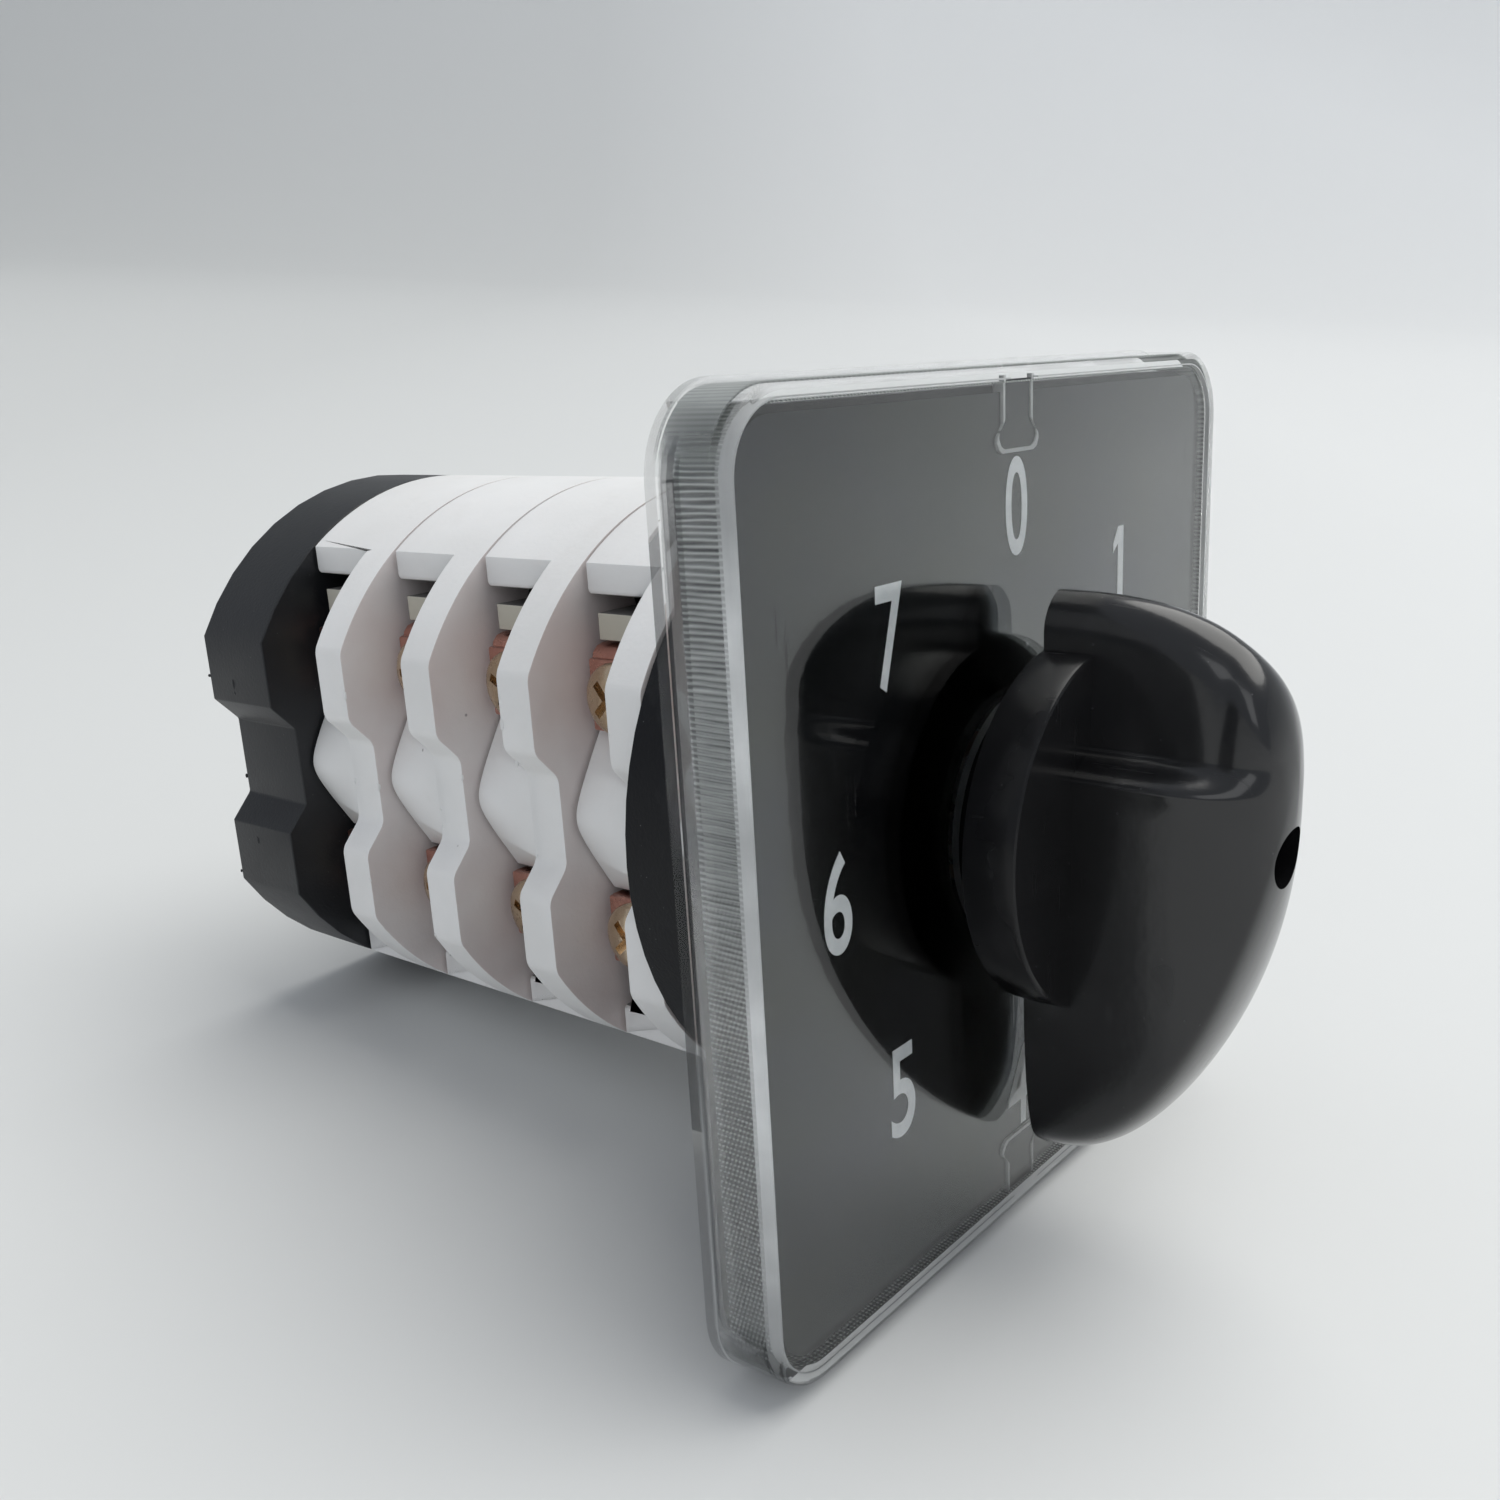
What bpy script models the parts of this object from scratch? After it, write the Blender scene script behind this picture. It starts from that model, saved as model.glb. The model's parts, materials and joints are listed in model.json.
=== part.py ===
"""Panel-mount rotary cam changeover switch, eight positions, four contact sections.

Metres, +Z up. The shaft lies along Y: the knob and the dial face -Y and the contact
sections stand behind them towards +Y. The switch stands on the bottom edge of its
square cover, so that edge is Z = 0, and the origin is below the middle of the length.

Every piece is modelled in the frame of the shaft: x to the right, y from the cover's
front face towards the rear, z up from the shaft's axis. One empty carries them all.
"""

import bpy
import bmesh
from math import acos, asin, cos, degrees, pi, radians, sin, sqrt
from mathutils import Vector

# Fits
SEAT_GAP = 0.0003
RUN_GAP = 0.0001
SOCKET_GAP = 0.00015

# Square cover with the dial behind its clear front
COVER_SIDE = 0.0634
COVER_DEPTH = 0.0054
COVER_CORNER = 0.0055
COVER_FRONT = 0.0012
COVER_WALL = 0.0014
COVER_EDGE = 0.0003
COVER_DRAFT = 0.0003
DIAL_THICKNESS = 0.0006
KEY_WIDTH = 0.004
KEY_LENGTH = 0.0044
KEY_BULB = 0.0009
HUB_OPENING_GAP = 0.0009
MOUNT_WEB = 0.0011

# Knob
HUB_RADIUS = 0.0129
HUB_BEVEL = 0.0006
HUB_THICKNESS = 0.004
HUB_STANDOFF = 0.0023
BOSS_RADIUS = 0.0084
BOSS_LENGTH = 0.0035
FIN_HEIGHT = 0.0196
FIN_NOSE = 0.0045
FIN_REACH_UP = 0.0120
FIN_REACH_DOWN = 0.0299
FIN_POWER_UP = 2.6
FIN_POWER_DOWN = 1.85
FIN_HALF_LOW = 0.0052
FIN_HALF_UP = 0.0038
FIN_HALF_TIP = 0.0015
FIN_EDGE = 0.0028
FIN_NOSE_START = 0.62
RIDGE_START = 0.025
RIDGE_END = 0.15
KNOB_WEB = 0.0022

# Shaft and its screw
SHAFT_SIDE = 0.007
SHAFT_FRONT = -0.0095
JOURNAL_LENGTH = 0.0045
KNOB_SCREW_RADIUS = 0.0014
KNOB_SCREW_HEAD_RADIUS = 0.0018
KNOB_SCREW_HEAD = 0.0016
KNOB_SCREW_GRIP = 0.007
TAP_GAP = 0.0002

# Flat and dovetail notch on each side of the round sections
SIDE_FLAT_DEPTH = 0.00295
SIDE_NOTCH_DEPTH = 0.00205
SIDE_NOTCH_MOUTH = 0.0057
SIDE_NOTCH_FLOOR = 0.0035

# Detent housing
HOUSING_DEPTH = 0.0118
HOUSING_FRONT = 0.003
HOUSING_WALL = 0.0023
HUB_WALL = 0.00075
WHEEL_RIM = 0.0039
WHEEL_REAR_ROOM = 0.0015
WELL_ROOM = 0.0009
POSITIONS = 8
DETENT_WIDTH = 0.006
DETENT_TRAVEL = 0.0014
DETENT_SPRING_LENGTH = 0.0032
DETENT_TURNS = 3
MOUNT_SCREW_RIM = 0.0045
MOUNT_SCREW_RADIUS = 0.0014
MOUNT_SCREW_LENGTH = 0.0085
MOUNT_HEAD_RADIUS = 0.0028

# Contact sections
SECTIONS = 4
SECTION_PITCH = 0.01115
FLANGE = 0.0034
CORE_HALF_WIDTH = 0.0142
CAM_ROOM = 0.0016
GUIDE_GAP = 0.0004
GUIDE_LENGTH = 0.0018
LEDGE = 0.0064
SHELF = 0.002
SHELF_SETBACK = 0.0008
SLOT_HEIGHT = 0.0013
CHAMBER_ROOM = 0.0002
POCKET_DEPTH = 0.0047
POCKET_GAP = 0.0006
RIM_WALL = 0.0017
BARRIER_SWELL = 0.003

# Cams and moving contacts
CAM_RIM = 0.0007
CAM_LIFT = 0.0016
CAM_SIDE_ROOM = 0.0008
CAM_NOTCH_HALF_ANGLE = 15
CAM_RAMP_ANGLE = 12
PLUNGER_HALF_WIDTH = 0.0028
BRIDGE_THICKNESS = 0.0008
BRIDGE_ROOM = 0.0006
BUTTON_RADIUS = 0.0014
BUTTON_HEIGHT = 0.0007
BUTTON_MARGIN = 0.0008
SPRING_POST_RADIUS = 0.0010
SPRING_POST_HEIGHT = 0.0016
CONTACT_X = 0.0070

# Fixed terminals
STRIP_THICKNESS = 0.0012
SCREW_RISE = 0.0029
SCREW_HOLE_RADIUS = 0.0016
SCREW_CHANNEL = 0.0019

# Springs
SPRING_RADIUS = 0.00185
WIRE_RADIUS = 0.00025
CONTACT_TURNS = 3

# Rear cap and tie bolts
CAP_DEPTH = 0.0094
CAP_CHAMFER = 0.0005
BOLT_X = 0.0063
BOLT_RIM = 0.0031
BOLT_RADIUS = 0.00125
BOLT_HOLE_GAP = 0.00015
BOLT_HEAD_RADIUS = 0.0021
BOLT_HEAD = 0.0016
BOLT_HEAD_SINK = 0.0022
BOLT_GRIP = 0.0065

# Places along the shaft that follow from the sizes above
DIAL_Y = COVER_FRONT + SEAT_GAP
PLATE_Y = DIAL_Y + DIAL_THICKNESS + SEAT_GAP
HOUSING_Y = COVER_DEPTH + SEAT_GAP
SECTION_Y = HOUSING_Y + HOUSING_DEPTH + SEAT_GAP
SECTION_DEPTH = SECTION_PITCH - SEAT_GAP
CAP_Y = SECTION_Y + SECTIONS * SECTION_PITCH
REAR_Y = CAP_Y + CAP_DEPTH
CAVITY_MID = (FLANGE + SECTION_DEPTH) / 2
CAM_THICKNESS = SECTION_DEPTH - FLANGE - 2 * CAM_SIDE_ROOM
PLUNGER_DEPTH = CAM_THICKNESS - 2 * SEAT_GAP
BRIDGE_DEPTH = PLUNGER_DEPTH - 2 * SEAT_GAP
WHEEL_THICKNESS = HOUSING_DEPTH - HOUSING_FRONT - SEAT_GAP - WHEEL_REAR_ROOM

# Radii that grow outwards from the square shaft
BEARING_RADIUS = SHAFT_SIDE / 2 * sqrt(2) + HUB_WALL
JOURNAL_RADIUS = SHAFT_SIDE / 2
CAM_LOBE = BEARING_RADIUS + CAM_LIFT + CAM_RIM
PLUNGER_NOSE = CAM_LOBE + SEAT_GAP
WELL_RADIUS = CAM_LOBE + CAM_ROOM
CHAMBER_FLOOR = WELL_RADIUS + GUIDE_LENGTH
CONTACT_SEAT = CHAMBER_FLOOR + SEAT_GAP + STRIP_THICKNESS
TERMINAL_TOP = CONTACT_SEAT + SEAT_GAP
SHELF_TOP = TERMINAL_TOP + SHELF
ARC_FLOOR = SHELF_TOP + SLOT_HEIGHT
BRIDGE_Z = CONTACT_SEAT + 2 * BUTTON_HEIGHT + SEAT_GAP
CHAMBER_TOP = BRIDGE_Z + BRIDGE_THICKNESS + CAM_LIFT + CHAMBER_ROOM
POCKET_TOP = CHAMBER_TOP + POCKET_DEPTH
BODY_RADIUS = POCKET_TOP + RIM_WALL
WHEEL_TIP = BEARING_RADIUS + WHEEL_RIM + DETENT_TRAVEL

# Widths that follow from a neighbour
HOLE_RADIUS = BOSS_RADIUS + HUB_OPENING_GAP
NOSE_HOLE_RADIUS = KNOB_SCREW_HEAD_RADIUS + SEAT_GAP
TAP_RADIUS = KNOB_SCREW_RADIUS + TAP_GAP
SIDE_FLAT = BODY_RADIUS - SIDE_FLAT_DEPTH
GUIDE_HALF_WIDTH = PLUNGER_HALF_WIDTH + GUIDE_GAP
BRIDGE_HALF_LENGTH = CONTACT_X + BUTTON_RADIUS + BUTTON_MARGIN
CHAMBER_HALF_WIDTH = BRIDGE_HALF_LENGTH + BRIDGE_ROOM
POCKET_HALF_WIDTH = SPRING_RADIUS + WIRE_RADIUS + POCKET_GAP
STRIP_END_X = CONTACT_X - BUTTON_RADIUS - BUTTON_MARGIN - SEAT_GAP
SCREW_Z = LEDGE + SCREW_RISE
BOLT_Z = sqrt((BODY_RADIUS - BOLT_RIM) ** 2 - BOLT_X ** 2)
MOUNT_HEAD_SEAT = COVER_DEPTH - MOUNT_WEB

BLACK = ("black_plastic", (0.018, 0.018, 0.020), 0.35, 0.0)
GLOSS_BLACK = ("gloss_black_plastic", (0.012, 0.012, 0.013), 0.12, 0.0)
WHITE = ("white_plastic", (0.80, 0.79, 0.77), 0.45, 0.0)
CLEAR = ("clear_plastic", (0.86, 0.90, 0.89), 0.05, 0.0)
DIAL = ("dark_dial", (0.11, 0.12, 0.12), 0.18, 0.6)
STEEL = ("zinc_steel", (0.62, 0.62, 0.60), 0.30, 1.0)
BRASS = ("copper_brass", (0.70, 0.42, 0.26), 0.30, 1.0)
BROWN = ("phenolic_brown", (0.16, 0.07, 0.04), 0.45, 0.0)


def remove_all_objects():
    for item in list(bpy.data.objects):
        bpy.data.objects.remove(item, do_unlink=True)


def material(spec):
    """Principled material from (name, colour, roughness, metallic), made once."""
    name, colour, roughness, metallic = spec
    found = bpy.data.materials.get(name)
    if found:
        return found
    made = bpy.data.materials.new(name)
    made.use_nodes = True
    shader = made.node_tree.nodes["Principled BSDF"]
    shader.inputs["Base Color"].default_value = (*colour, 1.0)
    shader.inputs["Roughness"].default_value = roughness
    shader.inputs["Metallic"].default_value = metallic
    return made


def mesh_from(bm, name):
    bmesh.ops.recalc_face_normals(bm, faces=bm.faces)
    mesh = bpy.data.meshes.new(name)
    bm.to_mesh(mesh)
    bm.free()
    return mesh


def place(name, mesh, spec, parent, location=(0, 0, 0), rotation=(0, 0, 0), smooth=30):
    """One object for one piece, on the given parent."""
    piece = bpy.data.objects.new(name, mesh)
    bpy.context.scene.collection.objects.link(piece)
    if not mesh.materials:
        mesh.materials.append(material(spec))
    mesh.shade_smooth()
    mesh.set_sharp_from_angle(angle=radians(smooth))
    piece.parent = parent
    piece.location = location
    piece.rotation_euler = rotation
    return piece


def combine(base, tool, operation):
    """Mesh of base joined with, or cut by, the tool's mesh."""
    body = bpy.data.objects.new("body", base)
    other = bpy.data.objects.new("tool", tool)
    for item in (body, other):
        bpy.context.scene.collection.objects.link(item)
    other.hide_render = True
    other.display_type = "WIRE"
    step = body.modifiers.new("combine", "BOOLEAN")
    step.operation = operation
    step.solver = "EXACT"
    step.object = other
    bpy.context.view_layer.update()
    result = bpy.data.meshes.new_from_object(body.evaluated_get(bpy.context.evaluated_depsgraph_get()))
    for item in (body, other):
        bpy.data.objects.remove(item, do_unlink=True)
    return result


def join(base, *tools):
    for tool in tools:
        base = combine(base, tool, "UNION")
    return base


def cut(base, *tools):
    for tool in tools:
        base = combine(base, tool, "DIFFERENCE")
    return base


def arc(radius, start, end, steps, centre=(0.0, 0.0)):
    """Points on an arc in the XZ plane, angles in degrees from +X."""
    points = []
    for step in range(steps + 1):
        angle = radians(start + (end - start) * step / steps)
        points.append((centre[0] + radius * cos(angle), centre[1] + radius * sin(angle)))
    return points


def circle(radius, sides, centre=(0.0, 0.0)):
    return arc(radius, 0, 360, sides, centre)[:-1]


def rounded_square(side, corner, steps):
    half = side / 2 - corner
    points = []
    for quarter, (sx, sz) in enumerate(((1, 1), (-1, 1), (-1, -1), (1, -1))):
        points += arc(corner, quarter * 90, quarter * 90 + 90, steps, (sx * half, sz * half))
    return points


def mirrored(points):
    """The same outline points turned half a turn about the shaft's axis."""
    return [(-x, -z) for x, z in points]


def prism(outline, y_start, y_end):
    """Solid with the outline in XZ, from y_start to y_end."""
    bm = bmesh.new()
    ring = [bm.verts.new((x, y_start, z)) for x, z in outline]
    face = bm.faces.new(ring)
    grown = bmesh.ops.extrude_face_region(bm, geom=[face])
    moved = [item for item in grown["geom"] if isinstance(item, bmesh.types.BMVert)]
    bmesh.ops.translate(bm, verts=moved, vec=(0, y_end - y_start, 0))
    return mesh_from(bm, "prism")


def loft(rings):
    """Solid through closed rings of equal point count, with flat ends."""
    bm = bmesh.new()
    made = [[bm.verts.new(point) for point in ring] for ring in rings]
    for near, far in zip(made, made[1:]):
        for index in range(len(near)):
            after = (index + 1) % len(near)
            bm.faces.new((near[index], near[after], far[after], far[index]))
    bm.faces.new(made[0])
    bm.faces.new(made[-1])
    return mesh_from(bm, "loft")


def turned(profile, sides):
    """Solid turned about the Y axis from (radius, y) points, closed on the axis at both ends."""
    rings = []
    for radius, y in profile:
        rings.append([(x, y, z) for x, z in circle(radius, sides)])
    return loft(rings)


def box(x_range, y_range, z_range):
    left, right = x_range
    bottom, top = z_range
    outline = [(left, bottom), (right, bottom), (right, top), (left, top)]
    return prism(outline, *y_range)


def coil(radius, wire, length, turns, steps_per_turn=8, sides=4):
    """Helical spring along +Z that starts at z = 0 and ends at z = length."""
    count = turns * steps_per_turn
    rise = length - 2 * wire
    rings = []
    for step in range(count + 1):
        angle = 2 * pi * step / steps_per_turn
        centre = Vector((radius * cos(angle), radius * sin(angle), wire + rise * step / count))
        outward = Vector((cos(angle), sin(angle), 0))
        rings.append([centre + outward * x + Vector((0, 0, z)) for x, z in circle(wire, sides)])
    return loft(rings)


def notched_outline(inset=0.0):
    """Round body outline with a flat and a dovetail notch on each side."""
    radius = BODY_RADIUS - inset
    flat = SIDE_FLAT - inset
    rise = degrees(acos(flat / radius))
    notch_x = SIDE_FLAT - SIDE_NOTCH_DEPTH - inset
    side = [(flat, -SIDE_NOTCH_MOUTH), (notch_x, -SIDE_NOTCH_FLOOR)]
    side += [(notch_x, SIDE_NOTCH_FLOOR), (flat, SIDE_NOTCH_MOUTH)]
    half = side + arc(radius, rise, 180 - rise, 16)
    return half + mirrored(half)


def core_outline():
    """Body between the flanges: the round outline cut off straight on both sides."""
    rise = degrees(acos(CORE_HALF_WIDTH / BODY_RADIUS))
    top = arc(BODY_RADIUS, rise, 180 - rise, 10)
    return top + mirrored(top)


def cavity_outline():
    """Cam well, plunger guides, bridge chambers, spring pockets and terminal recesses."""
    outside = CORE_HALF_WIDTH + 3 * SEAT_GAP
    strip_seat = CORE_HALF_WIDTH + SEAT_GAP - STRIP_THICKNESS
    guide_angle = degrees(acos(GUIDE_HALF_WIDTH / WELL_RADIUS))
    quarter = arc(WELL_RADIUS, 0, guide_angle, 5)
    quarter += [
        (GUIDE_HALF_WIDTH, CHAMBER_FLOOR),
        (strip_seat, CHAMBER_FLOOR),
        (strip_seat, LEDGE),
        (outside, LEDGE),
        (outside, TERMINAL_TOP),
        (CHAMBER_HALF_WIDTH, TERMINAL_TOP),
        (CHAMBER_HALF_WIDTH, SHELF_TOP),
        (outside, SHELF_TOP),
        (outside, ARC_FLOOR),
        (CHAMBER_HALF_WIDTH, ARC_FLOOR),
        (CHAMBER_HALF_WIDTH, CHAMBER_TOP),
        (POCKET_HALF_WIDTH, CHAMBER_TOP),
        (POCKET_HALF_WIDTH, POCKET_TOP),
    ]
    upper = quarter + [(-x, z) for x, z in reversed(quarter)][:-1]
    return upper + mirrored(upper)


def screw_channel(side, level):
    """Room behind a terminal for the end of its screw."""
    seat = CORE_HALF_WIDTH + SEAT_GAP - STRIP_THICKNESS
    x_range = sorted((side * (seat - SCREW_CHANNEL), side * (seat + SEAT_GAP)))
    middle = level * SCREW_Z
    return box(x_range, (FLANGE, SECTION_DEPTH + SEAT_GAP), (middle - SCREW_CHANNEL, middle + SCREW_CHANNEL))


def barrier(side):
    """Wedge between the upper and lower terminal: it swells from a blunt nose to the flange's notch."""
    root = CORE_HALF_WIDTH - 2 * SEAT_GAP
    notch_x = SIDE_FLAT - SIDE_NOTCH_DEPTH
    rear = [(root, LEDGE), (CORE_HALF_WIDTH, LEDGE)]
    front = [(root, LEDGE), (CORE_HALF_WIDTH, LEDGE)]
    heights = (0.75, 0.5, 0.25, 0.0, -0.25, -0.5, -0.75)
    for height in heights:
        rear.append((CORE_HALF_WIDTH + BARRIER_SWELL * (1 - abs(height) ** 1.4), LEDGE * height))
        shoulder = min(1.0, (1 - abs(height)) / (1 - SIDE_NOTCH_FLOOR / LEDGE))
        front.append((CORE_HALF_WIDTH + (notch_x - CORE_HALF_WIDTH) * shoulder, LEDGE * height))
    rear += [(CORE_HALF_WIDTH, -LEDGE), (root, -LEDGE)]
    front += [(CORE_HALF_WIDTH, -LEDGE), (root, -LEDGE)]
    rings = []
    for y, ring in ((FLANGE - 2 * SEAT_GAP, front), (FLANGE, front), (SECTION_DEPTH, rear)):
        rings.append([(side * x, y, z) for x, z in ring])
    return loft(rings)


def shelf_setback(side):
    """Room behind each shelf, so that it stops short of the next section."""
    inner = CHAMBER_HALF_WIDTH - SEAT_GAP
    outer = CORE_HALF_WIDTH + 3 * SEAT_GAP
    x_range = (inner, outer) if side > 0 else (-outer, -inner)
    y_range = (SECTION_DEPTH - SHELF_SETBACK, SECTION_DEPTH + SEAT_GAP)
    return [box(x_range, y_range, (TERMINAL_TOP - SEAT_GAP, SHELF_TOP + SEAT_GAP)),
            box(x_range, y_range, (-SHELF_TOP - SEAT_GAP, -TERMINAL_TOP + SEAT_GAP))]


def bolt_places():
    return ((BOLT_X, BOLT_Z), (-BOLT_X, -BOLT_Z))


def contact_base_mesh():
    base = prism(notched_outline(), 0, FLANGE)
    core = prism(core_outline(), FLANGE - 2 * SEAT_GAP, SECTION_DEPTH)
    base = join(base, core, barrier(1), barrier(-1))
    base = cut(base, prism(cavity_outline(), FLANGE, SECTION_DEPTH + SEAT_GAP))
    base = cut(base, prism(circle(BEARING_RADIUS, 24), -SEAT_GAP, FLANGE + SEAT_GAP))
    for side in (1, -1):
        base = cut(base, *shelf_setback(side), screw_channel(side, 1), screw_channel(side, -1))
    for place_of_bolt in bolt_places():
        hole = circle(BOLT_RADIUS + BOLT_HOLE_GAP, 10, place_of_bolt)
        base = cut(base, prism(hole, -SEAT_GAP, SECTION_DEPTH + SEAT_GAP))
    return base


def cam_radius(angle, notch_angle):
    """Cam outline: a lobe all round, with ramps down into one notch."""
    turn = abs((angle - notch_angle + 180) % 360 - 180)
    ramp = min(1.0, max(0.0, (turn - CAM_NOTCH_HALF_ANGLE) / CAM_RAMP_ANGLE))
    blend = ramp * ramp * (3 - 2 * ramp)
    return CAM_LOBE - CAM_LIFT * (1 - blend)


def shaft_hole(y_start, y_end):
    half = SHAFT_SIDE / 2 + RUN_GAP
    return box((-half, half), (y_start, y_end), (-half, half))


def cam_mesh(index):
    """Cam of one section, its notch a step further round than the cam in front."""
    notch_angle = 90 - index * 360 / POSITIONS
    outline = []
    for degree in range(0, 360, 10):
        radius = cam_radius(degree, notch_angle)
        outline.append((radius * cos(radians(degree)), radius * sin(radians(degree))))
    start = CAVITY_MID - CAM_THICKNESS / 2
    cam = prism(outline, start, start + CAM_THICKNESS)
    hub = prism(circle(BEARING_RADIUS - RUN_GAP, 24), SEAT_GAP, start + SEAT_GAP)
    return cut(join(cam, hub), shaft_hole(0, SECTION_DEPTH))


def moving_contact_mesh():
    """Plunger with a round nose on the cam, a bridge strip with two buttons and a spring post."""
    half_depth = PLUNGER_DEPTH / 2
    nose = arc(PLUNGER_HALF_WIDTH, 180, 360, 6, (0, PLUNGER_NOSE + PLUNGER_HALF_WIDTH))
    stem_top = BRIDGE_Z + BRIDGE_THICKNESS / 2
    shoulders = [(PLUNGER_HALF_WIDTH, stem_top), (-PLUNGER_HALF_WIDTH, stem_top)]
    stem = prism(nose + shoulders, -half_depth, half_depth)
    bridge = box((-BRIDGE_HALF_LENGTH, BRIDGE_HALF_LENGTH), (-BRIDGE_DEPTH / 2, BRIDGE_DEPTH / 2),
                 (BRIDGE_Z, BRIDGE_Z + BRIDGE_THICKNESS))
    post = upright(SPRING_POST_RADIUS, 6, BRIDGE_Z, BRIDGE_Z + BRIDGE_THICKNESS + SPRING_POST_HEIGHT)
    piece = join(stem, bridge, post)
    for x in (-CONTACT_X, CONTACT_X):
        piece = join(piece, upright(BUTTON_RADIUS, 6, BRIDGE_Z - BUTTON_HEIGHT, BRIDGE_Z + SEAT_GAP, x))
    return piece


def upright(radius, sides, bottom, top, x=0.0):
    """Cylinder that stands along Z at the given x."""
    rings = []
    for z in (bottom, top):
        rings.append([(px, py, z) for px, py in circle(radius, sides, (x, 0))])
    return loft(rings)


def terminal_mesh():
    """Upper left fixed terminal: a bent strip with a tapped hole outside and a contact button inside."""
    width = SECTION_DEPTH - FLANGE - 2 * SEAT_GAP
    outer = -(CORE_HALF_WIDTH + 2 * SEAT_GAP)
    inner = outer + STRIP_THICKNESS
    top = CONTACT_SEAT
    bend = arc(STRIP_THICKNESS, 90, 180, 3, (outer + STRIP_THICKNESS, top - STRIP_THICKNESS))
    outline = bend + [(outer, LEDGE + SEAT_GAP), (inner, LEDGE + SEAT_GAP), (inner, top - STRIP_THICKNESS)]
    outline += [(-STRIP_END_X, top - STRIP_THICKNESS), (-STRIP_END_X, top)]
    strip = prism(outline, -width / 2, width / 2)
    strip = join(strip, upright(BUTTON_RADIUS, 6, top - SEAT_GAP, top + BUTTON_HEIGHT, -CONTACT_X))
    rings = []
    for x in (outer - SEAT_GAP, inner + SEAT_GAP):
        rings.append([(x, px, SCREW_Z + pz) for px, pz in circle(SCREW_HOLE_RADIUS, 8)])
    return cut(strip, loft(rings))


def fin_edge(height):
    """Lower and upper edge of the fin at a height between 0 (rear) and 1 (nose)."""
    up = FIN_REACH_UP * (1 - height ** FIN_POWER_UP) ** (1 / FIN_POWER_UP)
    down = FIN_REACH_DOWN * (1 - height ** FIN_POWER_DOWN) ** (1 / FIN_POWER_DOWN)
    return FIN_NOSE - down, FIN_NOSE + up


def fin_half_width(z, height):
    """Half thickness of the fin: thick below the ridge, hollowed above it, rounded at every edge."""
    low, high = fin_edge(height)
    if z <= FIN_NOSE:
        share = min(1.0, abs(z + FIN_NOSE) / (FIN_REACH_DOWN - 2 * FIN_NOSE))
        base = FIN_HALF_LOW * (1 - 0.97 * share ** 3.5) ** (1 / 3.5) if z < -FIN_NOSE else FIN_HALF_LOW
    else:
        share = (z - FIN_NOSE) / (high - FIN_NOSE)
        hollow = max(0.0, (share - RIDGE_END) / (1 - RIDGE_END))
        thin = FIN_HALF_UP - (FIN_HALF_UP - FIN_HALF_TIP) * hollow ** 1.6
        step = min(1.0, max(0.0, (share - RIDGE_START) / (RIDGE_END - RIDGE_START)))
        base = FIN_HALF_LOW + (thin - FIN_HALF_LOW) * step * step * (3 - 2 * step)
    room = min(1.0, min(z - low, high - z) / FIN_EDGE)
    edge = sqrt(max(0.0, 1 - (1 - room) ** 2))
    rise = max(0.0, (height - FIN_NOSE_START) / (1 - FIN_NOSE_START))
    return base * edge * sqrt(max(0.0, 1 - rise ** 2.2))


def fin_ring(height, y):
    """Closed cross-section of the fin at one height above its rear."""
    low, high = fin_edge(height)
    levels = []
    for step in range(13):
        levels.append(FIN_NOSE - (FIN_NOSE - low) * cos(pi / 2 * step / 12))
    span = high - FIN_NOSE
    for share in (RIDGE_START, (RIDGE_START + RIDGE_END) / 2, RIDGE_END):
        levels.append(FIN_NOSE + span * share)
    for step in range(1, 8):
        levels.append(FIN_NOSE + span * (RIDGE_END + (1 - RIDGE_END) * sin(pi / 2 * step / 7)))
    left = [(-fin_half_width(z, height), y, z) for z in levels]
    right = [(-x, y, z) for x, y, z in reversed(left[1:-1])]
    return left + right


def fin_mesh():
    rear = -HUB_STANDOFF - SEAT_GAP
    rise = FIN_HEIGHT + rear
    rings = []
    for step in range(15):
        height = sin(pi / 2 * step / 14) * 0.998
        rings.append(fin_ring(height, rear - rise * height))
    return loft(rings)


def knob_mesh():
    """Hub disc, boss and fin in one moulding, with a square socket and a screw well from the nose."""
    rear = -HUB_STANDOFF
    front = rear - HUB_THICKNESS
    profile = [
        (BOSS_RADIUS, rear + BOSS_LENGTH),
        (BOSS_RADIUS, rear),
        (HUB_RADIUS - HUB_BEVEL / 2, rear),
        (HUB_RADIUS, rear - HUB_BEVEL / 2),
        (HUB_RADIUS, front + HUB_BEVEL),
        (HUB_RADIUS - HUB_BEVEL, front),
    ]
    knob = join(turned(profile, 56), fin_mesh())
    socket = SHAFT_SIDE / 2 + SOCKET_GAP
    floor = SHAFT_FRONT - SEAT_GAP
    web = floor - KNOB_WEB
    knob = cut(knob, box((-socket, socket), (floor, rear + BOSS_LENGTH + SEAT_GAP), (-socket, socket)))
    knob = cut(knob, prism(circle(TAP_RADIUS, 16), web - SEAT_GAP, floor + SEAT_GAP))
    return cut(knob, prism(circle(NOSE_HOLE_RADIUS, 20), -FIN_HEIGHT - SEAT_GAP, web))


def shaft_mesh():
    """Square bar with a tapped front end and a round journal at the rear."""
    half = SHAFT_SIDE / 2
    end = CAP_Y - SEAT_GAP
    bar = box((-half, half), (SHAFT_FRONT, end), (-half, half))
    bar = join(bar, prism(circle(JOURNAL_RADIUS - RUN_GAP, 24), end - SEAT_GAP, CAP_Y + JOURNAL_LENGTH))
    depth = KNOB_SCREW_GRIP + 2 * SEAT_GAP
    return cut(bar, prism(circle(TAP_RADIUS, 16), SHAFT_FRONT - SEAT_GAP, SHAFT_FRONT + depth))


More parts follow.
